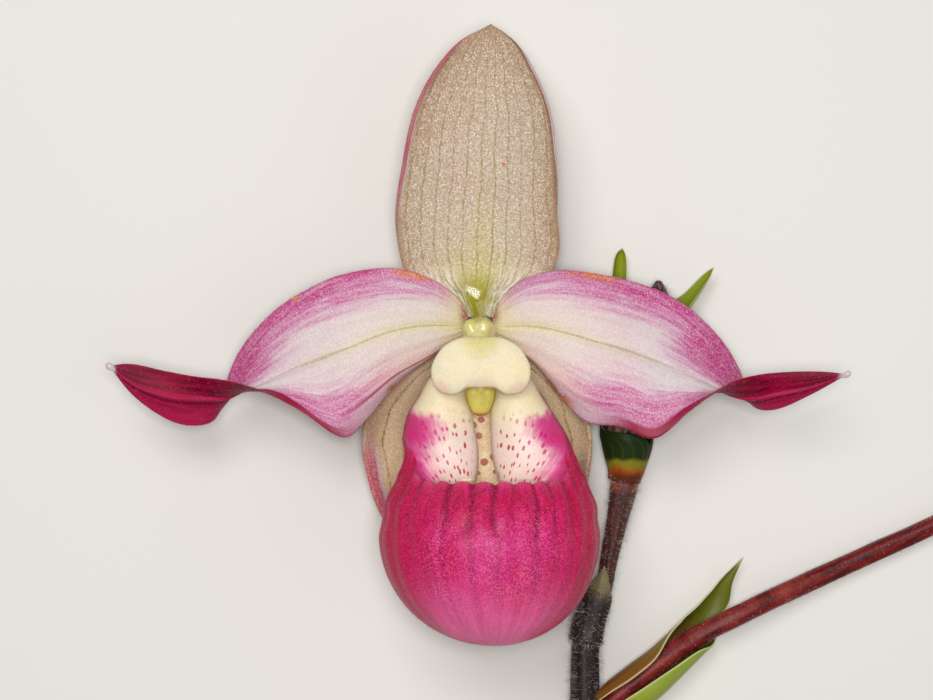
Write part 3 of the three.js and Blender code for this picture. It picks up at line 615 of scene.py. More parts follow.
class Finish:
    """Builds one material from nodes; a value is a number, a colour or another node's output."""

    def __init__(self, name, roughness, gloss=0.5, **constants):
        self.material = bpy.data.materials.new(name)
        self.material.use_nodes = True
        self.tree = self.material.node_tree
        self.shader = self.tree.nodes["Principled BSDF"]
        self.colour = None
        for key, value in dict(Roughness=roughness, Specular_IOR_Level=gloss, **constants).items():
            self.set(value, key)

    def put(self, value, socket):
        if isinstance(value, bpy.types.NodeSocket):
            self.tree.links.new(value, socket)
        elif socket.type == "RGBA":
            socket.default_value = (*value[:3], 1.0)
        else:
            socket.default_value = value

    def set(self, value, key):
        """Gives one of the shader's own sockets its value."""
        self.put(value, self.shader.inputs[key.replace("_", " ")])

    def add(self, kind, *values, out=0, **named):
        node = self.tree.nodes.new("ShaderNode" + kind)
        wired = {k: v for k, v in named.items() if node.inputs.get(k.replace("_", " "))}
        for key, value in named.items():
            if key not in wired:
                setattr(node, key, value)
        for key, value in wired.items():
            self.put(value, node.inputs[key.replace("_", " ")])
        for socket, value in zip(node.inputs, values):
            self.put(value, socket)
        return node.outputs[out]

    # Arithmetic.

    def math(self, operation, *values):
        return self.add("Math", *values, operation=operation)

    def chain(self, operation, values):
        total = values[0]
        for value in values[1:]:
            total = self.math(operation, total, value)
        return total

    def times(self, *values):
        return self.chain("MULTIPLY", values)

    def plus(self, *values):
        return self.chain("ADD", values)

    def most(self, *values):
        return self.chain("MAXIMUM", values)

    def size(self, value):
        return self.math("ABSOLUTE", value)

    def scaled(self, value, factor, offset):
        return self.math("MULTIPLY_ADD", value, factor, offset)

    def rise(self, value, low, high, floor=0.0, top=1.0):
        """Smoothly from floor at low to top at high; it falls where low is above high."""
        if low > high:
            low, high, floor, top = high, low, top, floor
        return self.add("MapRange", value, low, high, floor, top, interpolation_type="SMOOTHSTEP")

    # Places.

    def here(self):
        return self.add("TexCoord", out="Object")

    def up_stem(self):
        """How far up the stem a point lies: y in metres of the part's frame."""
        return self.add("SeparateXYZ", self.here(), out=1)

    def flower(self):
        """Where a point lies seen from the front: x and y in the flower's own millimetres."""
        split = self.add("SeparateXYZ", self.here()).node
        return [self.scaled(split.outputs[i], 1000.0, float(ORIGIN[i])) for i in (0, 1)]

    def mark(self, name):
        return self.add("Attribute", attribute_name=name, out="Fac")

    def ways(self):
        """The piece's own map: s from base to tip and v from -1 to 1 across."""
        split = self.add("SeparateXYZ", self.add("UVMap")).node
        return split.outputs[0], self.scaled(split.outputs[1], 2.0, -1.0)

    def joined(self, x, y, z=0.0):
        return self.add("CombineXYZ", x, y, z)

    def spot(self, x, y, reach):
        """1 round one place of the flower, in its own millimetres."""
        centre = metres((x, y, 0))
        flat = self.add("VectorMath", self.here(), (1, 1, 0), operation="MULTIPLY")
        far = self.add("VectorMath", flat, (centre[0], centre[1], 0), operation="DISTANCE", out=1)
        return self.rise(far, reach / 1000, reach / 3000)

    # Patterns.

    def noise(self, scale, detail=3, where=None):
        return self.add("TexNoise", Vector=where or self.here(), Scale=scale, Detail=detail,
                        Roughness=0.55)

    def streaks(self, s, along, v, across, detail=4, apart=0.0):
        """Noise drawn out on the piece's own map, as lengthwise streaks."""
        return self.noise(1.0, detail, self.joined(self.times(s, along), self.times(v, across),
                                                   apart))

    def cells(self, scale, out="Color"):
        return self.add("TexVoronoi", Vector=self.here(), Scale=scale, out=out)

    def glitter(self, scale, share):
        """1 on a random share of tiny cells, as wet papillae catch the light."""
        cell = self.add("SeparateXYZ", self.cells(scale))
        return self.rise(cell, 1.0 - share, 1.0 - share * 0.4)

    def lines(self, value, width):
        """1 along each whole number of the value, falling off over width."""
        return self.rise(self.math("PINGPONG", value, 0.5), width, width * 0.25)

    # Colour, laid over what is there already.

    def mix(self, amount, below, above, blend="MIX"):
        return self.add("MixRGB", amount, below, above, blend_type=blend)

    def over(self, colour, *amounts):
        """Lays a colour over the finish so far, by the product of the amounts."""
        self.colour = self.mix(self.times(*amounts), self.colour, colour)

    def mottled(self, light, dark, scale, detail=3, low=0.3, high=0.7):
        """Starts a finish as soft patches of two colours."""
        self.colour = self.mix(self.rise(self.noise(scale, detail), low, high), light, dark)

    def grained(self, scale, amount):
        """Makes the finish uneven from one tiny cell to the next."""
        self.colour = self.mix(amount, self.colour, self.cells(scale), "OVERLAY")

    def sparkle(self, light, amount, calm, shade=(0.52, 0.37, 0.22)):
        """The crystal look of the inner faces: fine cells of uneven tone, the brightest painted as
        glints of light, less where calm.
        """
        cell = self.add("SeparateXYZ", self.cells(CRYSTALS)).node
        amount = self.math("SUBTRACT", amount, self.times(amount, calm))
        shaded = self.mix(1.0, self.colour, shade, "MULTIPLY")
        self.over(shaded, self.math("POWER", cell.outputs[0], 1.6), amount, 0.85)
        # Painted glints: the brightest cells take the colour of caught light.
        self.over(light, self.math("POWER", cell.outputs[1], 2.6), amount, 1.35)

    def bump(self, height, strength, distance):
        self.set(self.add("Bump", Height=height, Strength=strength, Distance=distance), "Normal")

    def done(self):
        self.set(self.colour, "Base Color")
        return self.material


def sepal_inner(look, name="sepal inner face", gold=0.0):
    f = Finish(name, 0.5, 0.28, Coat_Roughness=0.09)
    s, v = f.ways()
    far = f.size(v)
    f.mottled(look.sepal, look.sepal_rosy, 90, low=0.35)
    f.over(look.sepal_tan, f.rise(far, 0.50, 0.95, 0.0, 0.7))
    f.over(look.sepal_tan, f.rise(s, 0.55, 1.0, 0.0, 0.9))
    # With gold, golden beige laid over the whole face: the lower sepals' own tone, lightened as
    # painted light to make up for the shade that the petals and pouch cast on them.
    f.over(look.sepal_gold, gold)
    f.over(look.sepal_base, f.rise(s, 0.48, 0.05), f.rise(far, 0.9, 0.1))
    f.over(look.throat, f.rise(s, 0.66, 0.12), f.rise(f.size(f.plus(v, -0.06)), 0.20, 0.02), 0.55)
    f.over(look.sepal_edge, f.rise(far, 0.84, 0.97), 0.45)
    f.over(look.throat, f.most(f.times(f.rise(s, 0.36, 0.10), f.rise(far, 0.75, 0.12), 0.8),
                               f.times(f.rise(s, 0.20, 0.10), f.rise(far, 1.0, 0.4))))
    left = f.times(f.rise(v, -0.865, -0.90), f.rise(s, 0.40, 0.55), f.rise(s, 1.0, 0.93))
    f.over(look.petal_pale, left)
    f.over(look.sepal_rim, left, f.rise(v, -0.90, -0.93), 0.95)
    f.over(look.sepal_edge, f.rise(v, 0.87, 0.93), f.rise(s, 0.42, 0.58), f.rise(s, 1.0, 0.9), 0.8)
    wet = f.times(f.rise(s, 0.28, 0.14), f.rise(far, 0.9, 0.4))
    f.sparkle(look.glint, 0.46, f.most(wet, f.rise(far, 0.80, 0.97, 0.0, 0.7 * (1 - gold)),
                                       f.rise(s, 0.80, 1.0, 0.0, 0.6 * (1 - gold))))
    runs = f.streaks(s, 16.0, v, 22.0, 3)
    # Painted highlight: pale streaks where the wet throat would reflect the light.
    f.over(look.glint, f.rise(s, 0.30, 0.16), f.rise(far, 0.15, 0.40), f.rise(far, 1.0, 0.7),
           f.rise(runs, 0.36, 0.60), 0.85 * (1 - gold))
    wander = f.scaled(f.noise(160), 0.16, -0.08)
    strong = f.rise(f.noise(1.0, 1, f.joined(f.times(v, 4.3), 0.0)), 0.3, 0.6, 0.6, 1.0)
    f.over(look.vein, f.lines(f.times(f.plus(v, wander), 6.0), 0.10),
           f.rise(f.noise(3400, 2), 0.40, 0.60, 0.25, 1.0), strong, f.rise(s, 0.02, 0.1),
           f.scaled(wet, -0.40, 0.80))
    f.over(look.bruise, f.spot(2.9, 20.1, 0.34), 0.9)
    f.bump(f.plus(f.times(f.cells(CRYSTALS, "Distance"), 0.3), f.times(runs, wet, 12.0)),
           0.8, 0.00012)
    f.set(f.times(wet, 0.34), "Coat Weight")
    f.set(f.scaled(wet, -0.15, 0.5), "Roughness")
    return f.done()


def sepal_outer(look):
    f = Finish("sepal outer face", 0.6, 0.15)
    v = f.ways()[1]
    f.mottled(look.sepal_back, look.sepal_rosy, 120)
    f.over(look.sepal, f.rise(f.size(v), 0.95, 0.35, 0.0, 0.55))
    f.over(look.vein_back, f.lines(f.times(v, 6.0), 0.2), 0.5)
    f.over(look.petal_pale, f.rise(v, 0.78, 0.88), 0.8)
    f.bump(f.noise(3000, 2), 0.4, 0.00006)
    return f.done()


def petal_inner(look):
    f = Finish("petal inner face", 0.48, 0.3)
    s, v = f.ways()
    x, far = f.flower()[0], f.size(v)
    # Rose comes in from the upper margin, over the outer half and along the lower margin.
    soft = f.scaled(f.streaks(s, 8.0, v, 13.0), 1.0, -0.5)
    w = f.plus(v, f.scaled(f.streaks(s, 4.5, v, 7.0, apart=7.0), 0.56, -0.28))
    t = f.plus(s, f.scaled(f.noise(150), 0.12, -0.06))
    upper = f.times(f.rise(w, -0.15, -1.0), f.rise(t, 0.02, 0.40, 0.45, 1.0))
    distal = f.times(f.rise(w, 0.28, -0.60), f.rise(t, 0.38, 0.58), 1.15)
    lower = f.times(f.rise(w, 0.12, 0.66), f.rise(t, 0.14, 0.36), 0.76)
    mottle = f.rise(f.streaks(s, 12.0, v, 24.0, 5, 2.0), 0.32, 0.66, 0.56, 1.08)
    rose = f.times(f.plus(f.most(upper, distal, lower), f.times(soft, 0.5)), mottle)
    f.mottled(look.petal_white, look.petal_pale, 100, low=0.35)
    f.over(look.petal_warm, f.rise(s, 0.5, 0.08), f.rise(far, 0.9, 0.1), 0.55)
    f.over(look.petal_lilac, f.rise(rose, 0.06, 0.55, 0.0, 0.75))
    f.over(look.petal_rose, f.rise(rose, 0.32, 0.95))
    f.over(look.petal_rose, f.rise(f.streaks(s, 12.0, v, 46.0, 3), 0.54, 0.72),
           f.rise(s, 0.06, 0.3), 0.15)
    f.over(look.petal_tea, f.rise(f.streaks(s, 9.0, v, 30.0, 3, 4.0), 0.55, 0.72),
           f.rise(far, 0.9, 0.5), 0.35)
    f.over(look.petal_base, f.rise(s, 0.16, 0.03), 0.8)
    f.over(look.petal_tea, f.rise(v, 0.25, 0.72), f.rise(s, 0.36, 0.18), f.rise(s, 0.03, 0.1),
           f.rise(f.noise(500), 0.3, 0.6, 0.4, 1.0), 0.55)
    # The midrib, with a soft greenish halo.
    from_rib = f.size(f.plus(v, f.times(soft, 0.07)))
    f.over(look.petal_base, f.rise(from_rib, 0.16, 0.0), f.rise(s, 0.50, 0.05), 0.65)
    f.over(look.midrib, f.rise(from_rib, 0.026, 0.006), f.rise(s, 0.66, 0.35), 0.62)
    f.over(look.petal_rose, f.rise(v, -0.93, -0.995), f.rise(s, 0.05, 0.2), 0.35)
    # The turned lower margin: a crimson band, a pale lip and the line of its fold.
    reach = f.times(f.rise(s, 0.43, 0.58, 0.0, 0.6), f.rise(x, 5.0, -5.0, 0.12, 1.0))
    band = f.times(f.rise(f.plus(v, reach), 0.84, 0.90), f.rise(s, 0.33, 0.42))
    f.over(look.petal_crimson, band, 0.95)
    f.over(look.petal_pale, f.rise(v, 0.76, 0.80), f.rise(s, 0.42, 0.30), 0.6)
    fold = f.times(f.rise(f.size(f.plus(v, -0.75)), 0.035, 0.008), f.rise(s, 0.05, 0.12),
                   f.rise(s, 0.38, 0.28), f.rise(x, 1.0, -1.0, 0.15, 1.0))
    f.over(look.petal_crimson, fold, 0.7)
    f.over(look.petal_crimson, f.rise(s, 0.09, 0.03), f.rise(v, 0.1, -0.6), 0.8)
    top_margin = f.rise(v, -0.84, -0.93)
    bruised = f.most(
        f.spot(-10.4, -7.4, 1.2), f.times(f.spot(8.6, -8.0, 3.8), f.rise(v, 0.80, 0.90)),
        f.times(f.spot(13.6, 6.6, 4.0), top_margin), f.times(f.spot(-8.2, 6.9, 3.6), top_margin),
        f.spot(-22.4, 3.8, 0.6))
    f.over(look.bruise, f.rise(f.noise(700, 2), 0.34, 0.48), bruised, 0.9)
    f.over(look.petal_white, f.rise(s, 0.972, 0.988), 0.95)
    f.bump(f.cells(CRYSTALS, "Distance"), 0.4, 0.00003)
    f.sparkle(look.glint, 0.25, f.most(band, fold), (0.72, 0.54, 0.60))
    return f.done()


def petal_outer(look):
    f = Finish("petal outer face", 0.5, 0.12)
    s, v = f.ways()
    grain, outer_half = f.streaks(s, 9.0, v, 6.0), f.rise(s, 0.62, 0.7)
    f.colour = f.mix(f.rise(grain, 0.3, 0.72), look.petal_crimson, look.petal_deep)
    f.over(look.petal_glow, f.rise(f.plus(v, f.times(grain, 0.5)), 0.35, -0.5), 0.5)
    f.over(look.petal_lilac, f.rise(s, 0.55, 0.1), f.rise(f.size(v), 1.0, 0.1), 0.75)
    # Painted highlight along the outer keel, painted shade in the crease beside it, and painted
    # glints over the face.
    f.over(look.petal_glow, f.rise(f.size(f.plus(v, -0.05)), 0.16, 0.03), outer_half, 0.45)
    f.over(look.petal_deep, f.rise(f.size(f.plus(v, 0.16)), 0.10, 0.02), outer_half, 0.75)
    f.over(look.petal_glow, f.glitter(6200, 0.10), 0.30)
    f.over(look.petal_white, f.rise(s, 0.972, 0.992, 0.0, 0.95))
    f.bump(f.noise(5200, 2), 0.35, 0.00006)
    return f.done()


def pouch_skin(look):
    f = Finish("pouch velvet", 0.42, 0.18, Sheen_Weight=0.02, Sheen_Roughness=0.4,
               Sheen_Tint=tone("e94f86"))
    furrow, height, rim, aside, ahead = (
        f.mark(name) for name in ("furrow", "height", "rim", "aside", "ahead"))

    def upright(across, along, detail):
        """Streaks down the pouch, with no seam round it."""
        return f.noise(1.0, detail, f.joined(f.times(aside, across), f.times(ahead, across),
                                             f.times(height, along)))

    streak, fine, blotch = upright(14.0, 1.4, 5), upright(48.0, 2.8, 3), f.noise(150, 4)
    far = f.times(f.math("ARCCOSINE", ahead), TURNS_PER_RADIAN)
    f.colour = f.mix(f.rise(streak, 0.3, 0.7), look.pouch, look.pouch_light)
    f.over(look.pouch_violet, f.rise(far, 0.17, 0.03), f.rise(height, 1.1, -0.1),
           f.rise(blotch, 0.30, 0.62), 0.6)
    f.over(look.pouch_pink, f.rise(far, 0.30, 0.06), f.rise(height, -0.1, -0.65),
           f.rise(streak, 0.25, 0.7, 0.6, 1.0))
    # Painted shade: the furrows darkened, most across the front.
    f.over(look.pouch_dark, f.rise(furrow, 0.30, 0.90), f.rise(height, -0.8, 0.8),
           f.rise(far, 0.25, 0.12, 0.35, 0.85))
    f.over(look.pouch_dark, f.rise(fine, 0.50, 0.70), f.rise(height, -0.9, 0.9), 0.6)
    f.over(look.pouch_red, f.rise(far, 0.09, 0.20), 0.6)
    # Painted highlight: the rim's beads between the furrows turned pale pink.
    f.over(look.pouch_pink, rim, f.rise(furrow, 0.6, 0.2), f.rise(height, 4.2, 3.0), 0.5)
    # Painted glints: tiny bright cells over all the pouch, gathered in patches on its front.
    glint_patches = f.times(f.rise(f.noise(330, 4), 0.30, 0.70, 0.15, 0.85), f.rise(far, 0.18, 0.04),
                       f.rise(height, 1.4, -0.5, 0.12, 1.0))
    f.grained(CRYSTALS, 0.24)
    f.over(look.pouch_bright, f.glitter(CRYSTALS, 0.5), f.plus(f.times(glint_patches, 0.60), 0.07))
    f.over(look.cream, f.rise(height, 4.6, 8.2, 0.0, 0.85))
    f.over(look.petal_lilac, f.rise(far, 0.33, 0.45), 0.5)
    foot = f.mix(f.rise(blotch, 0.35, 0.65), look.pouch_light, look.pouch_pink)
    f.over(foot, f.rise(height, -0.60, -0.92, 0.0, 0.8))
    f.bump(f.plus(f.noise(2600), f.times(f.cells(5200, "Distance"), 0.5)), 0.45, 0.0001)
    return f.done()


def lobe_skin(look):
    f = Finish("side lobe", 0.42, 0.4)
    x, y = f.flower()
    offset = f.plus(x, -0.5)
    out, side = f.size(offset), f.math("SIGN", offset)
    across, above = f.plus(out, -1.5), f.plus(y, 24.0)
    turn = f.math("ARCTAN2", across, above)
    away = f.math("SQRT", f.plus(f.times(across, across), f.times(above, above)))
    f.colour = f.mix(f.rise(y, -9.0, -14.0), look.cream, look.lobe_white)
    rays = f.scaled(f.noise(1.0, 4, f.joined(
        f.times(turn, 26.0), f.times(away, 0.30), f.times(side, 9.0))), 3.6, -1.8)
    high = f.plus(y, f.scaled(f.noise(520), 1.8, -0.9))
    # The stain comes in from the outer edge: widest below the shoulder, a narrow fringe under it.
    edge = f.plus(10.6, f.rise(high, -8.4, -10.6, 0.0, -2.7),
                  f.times(f.rise(high, -9.4, -11.4), f.rise(high, -14.2, -12.4), -1.9),
                  f.rise(high, -14.6, -17.5, 0.0, -0.9),
                  f.times(side, f.rise(high, -12.5, -15.5), 0.6))
    inside = f.math("SUBTRACT", f.plus(out, rays), edge)
    f.over(look.lobe_rose, f.rise(inside, -2.6, 1.0, 0.0, 0.97))
    f.over(look.pouch_light, f.rise(inside, 0.2, 2.6), 0.55)
    # Rows of spots, which fan out from below the slot.
    where = f.joined(f.plus(f.times(turn, 14.5), f.times(side, 3.7)), f.times(away, 0.64))
    dots = f.add("TexVoronoi", Vector=where, Scale=1.0, Randomness=0.72,
                 voronoi_dimensions="2D")
    radius = f.rise(f.noise(900, 1), 0.3, 0.7, 0.11, 0.25)
    f.over(f.mix(f.rise(out, 5.8, 2.2), look.spot_rose, look.spot_brown),
           f.rise(f.math("SUBTRACT", dots, radius), 0.06, -0.05),
           f.rise(f.plus(y, f.times(out, -0.12)), -9.4, -12.6), f.rise(out, 1.2, 1.9),
           f.rise(f.noise(800, 1), 0.26, 0.38), f.rise(out, 8.2, 7.2), 0.95)
    f.grained(6600, 0.14)
    f.bump(f.cells(5200, "Distance"), 0.3, 0.00004)
    return f.done()


def lip_inside(look):
    # The inside glows a little of its own: painted light, standing in for light let through the
    # thin wall.
    f = Finish("inside of the lip", 0.45, Emission_Strength=0.07, Emission_Color=look.lip_inside)
    f.mottled(look.lip_inside, look.sepal_gold, 260, 2, 0.35)
    dots = f.add("TexVoronoi", Vector=f.here(), Scale=640.0, Randomness=0.85)
    f.over(look.glint, f.glitter(7000, 0.4), 0.8)
    f.over(look.lip_spot, f.rise(dots, 0.37, 0.29), 0.92)
    f.over(look.pouch, f.most(f.spot(-7.5, -16.4, 1.3), f.spot(10.05, -16.4, 1.3)))
    f.bump(f.cells(3200, "Distance"), 0.6, 0.0001)
    return f.done()


def column_skin(look):
    f = Finish("column", 0.22, Coat_Weight=0.35, Coat_Roughness=0.10)
    f.mottled(look.column_green, look.column_light, 600, 2)
    f.bump(f.noise(2200, 2), 0.12, 0.00005)
    return f.done()


def staminode_skin(look):
    f = Finish("staminode", 0.5, 0.3, Subsurface_Weight=0.25, Subsurface_Scale=0.0012)
    f.mottled(look.cream, look.staminode, 240, 2, high=0.75)
    f.over(look.column_green, f.spot(0.05, -1.0, 3.0), 0.7)
    f.over(look.petal_lilac, f.most(
        f.spot(-4.7, -7.2, 1.8), f.spot(4.6, -7.3, 1.8), f.spot(0.05, -6.9, 1.8)), 0.22)
    f.grained(7600, 0.15)
    f.bump(f.plus(f.noise(1800), f.times(f.cells(5600, "Distance"), 0.6)), 0.35, 0.00008)
    return f.done()


def stigma_skin(look):
    f = Finish("stigma", 0.3, Coat_Weight=0.25, Coat_Roughness=0.2)
    y = f.flower()[1]
    f.colour = look.stigma
    f.over(darker(look.stigma, 0.7), f.rise(f.noise(700, 4), 0.3, 0.7, 0.0, 0.5))
    f.over(look.spot_brown, f.rise(y, -9.7, -10.3, 0.0, 0.8))
    f.bump(f.noise(4200), 0.3, 0.00006)
    return f.done()


def plain_skin(name, light, dark, roughness, scale, **constants):
    """A skin mottled from light to dark at one scale."""
    f = Finish(name, roughness, **constants)
    f.mottled(light, dark, scale, 4)
    f.bump(f.noise(scale * 6), 0.3, 0.00008)
    return f.done()


def ovary_skin(look):
    f = Finish("ovary", 0.5, Sheen_Weight=0.4, Sheen_Roughness=0.4)
    s, v = f.ways()
    f.mottled(look.ovary, look.ovary_green, 300)
    f.over(look.stem_dark, f.lines(f.times(v, 3.0), 0.3), 0.6)
    f.over(look.throat, f.rise(s, 0.80, 0.90))
    f.bump(f.noise(2600), 0.5, 0.0001)
    return f.done()


def stem_skin(look):
    """Near black-maroon low on the stem, then red-brown with orange patches, then dark green
    deepened as painted shade under the sheath.
    """
    f = Finish("hairy stem", 0.5, 0.3)
    s, v = f.ways()
    high = f.up_stem()
    f.colour = f.mix(f.rise(f.streaks(s, 16.0, v, 9.0), 0.3, 0.7), look.stem, look.stem_dark)
    f.over(look.stem_low, f.rise(high, 0.0005, -0.004))
    patches = f.mix(f.rise(f.noise(420), 0.40, 0.62), look.ring_orange, look.stem)
    f.over(patches, f.rise(high, 0.0150, 0.0163), f.rise(high, 0.0185, 0.0178), 0.7)
    # Painted shade: the stem inside the sheath made near-black green.
    f.over(look.bract_dark_shaded, f.rise(high, 0.0178, 0.0190))
    f.over(look.cut_end, f.rise(high, -0.0715, -0.07235))
    f.bump(f.noise(2600), 0.5, 0.00012)
    return f.done()


def branch_skin(look):
    f = Finish("side branch", 0.42, 0.2)
    s, v = f.ways()
    f.colour = f.mix(f.rise(f.streaks(s, 22.0, v, 8.0), 0.3, 0.7), look.branch, look.branch_dark)
    f.over(look.branch_rosy, f.rise(f.noise(140), 0.5, 0.7), 0.6)
    f.bump(f.noise(2400), 0.5, 0.00012)
    return f.done()


def bract_skin(name, look, body, tip, warm=0.0, stripe=0.12, ringed=False):
    """A bract's skin: parallel veins, a thin pale margin, and a warm flush on one side."""
    f = Finish(name, 0.45, 0.12 if ringed else 0.35)
    s, v = f.ways()
    lengthwise, veins = f.streaks(s, 5.0, v, 16.0), f.lines(f.times(v, 7.0), 0.20)
    f.colour = f.mix(f.rise(s, 0.35, 0.75), body, tip)
    f.over(darker(body, 0.5), f.rise(lengthwise, 0.38, 0.7), 0.35)
    f.over(look.bract_warm, f.rise(f.plus(s, f.times(lengthwise, 0.25)), 0.80, 0.35), warm,
           f.rise(v, -WARM_SIDE, WARM_SIDE))
    f.over(tip, veins, stripe)
    rim = [f.rise(f.size(v), 0.975, 0.998, 0.0, 0.65)]
    if ringed:
        rim.append(f.rise(s, 0.3, 0.4))
    f.over(look.bract_margin, *rim)
    f.over(look.bract_margin, f.rise(s, 0.94, 1.0, 0.0, 0.7))
    if ringed:
        # Coloured rings at the sheath's foot, with an uneven edge.
        high = f.plus(f.up_stem(), f.scaled(f.noise(500, 2), 0.0012, -0.0006))
        f.over(look.ring_green, f.rise(high, 0.0199, 0.0191))
        f.over(look.ring_orange, f.rise(high, 0.0190, 0.0180))
        f.over(look.stem_low, f.rise(high, 0.0186, 0.0172), f.rise(v, 0.1, 0.5), 0.8)
        f.over(look.stem, f.rise(high, 0.0178, 0.0168, 0.0, 0.7))
    f.bump(f.plus(veins, f.times(f.noise(1800, 2), 0.5)), 0.3, 0.00008)
    return f.done()


def hair_skin(name, light, dark):
    f = Finish(name, 0.45, 0.3)
    f.mottled(light, dark, 900, 2)
    return f.done()


# ---------------------------------------------------------------- sizes and colours to change


def length(name, description, metres_long):
    return FloatProperty(name=name, description=description, default=metres_long, min=0.0,
                         soft_max=metres_long * 3, precision=5, unit="LENGTH")


def paint(name, description, code):
    return FloatVectorProperty(name=name, description=description, default=tone(code), size=3,
                               min=0.0, max=1.0, subtype="COLOR")


class ORCHID_PG_sizes(bpy.types.PropertyGroup):
    """Sizes of the flower's walls, furrows and hairs."""

    petal_wall: length("Petal thickness", "Thickness of the petals and sepals", 0.00055)
    bract_wall: length("Bract thickness", "Thickness of the bracts", 0.00042)
    lip_wall: length("Lip thickness", "Thickness of the pouch and its side lobes", 0.0007)
    furrow_depth: length("Furrow depth", "Depth of the furrows below the pouch's rim", 0.00052)
    roll: FloatProperty(name="Margin roll", description="How far the upper sepal's margin turns in",
                        default=math.radians(140), min=0.0, max=math.pi, subtype="ANGLE")
    down_length: length("Pouch down", "Length of the short hairs on the pouch", 0.00030)
    stem_hair: length("Stem hair", "Length of the long hairs on the stem", 0.00095)
    stem_hairs: IntProperty(name="Stem hair count", description="Hairs on the main stem",
                            default=9000, min=1, max=12000)
    pouch_hairs: IntProperty(name="Pouch hair count", description="Hairs on the pouch",
                             default=5200, min=1, max=12000)


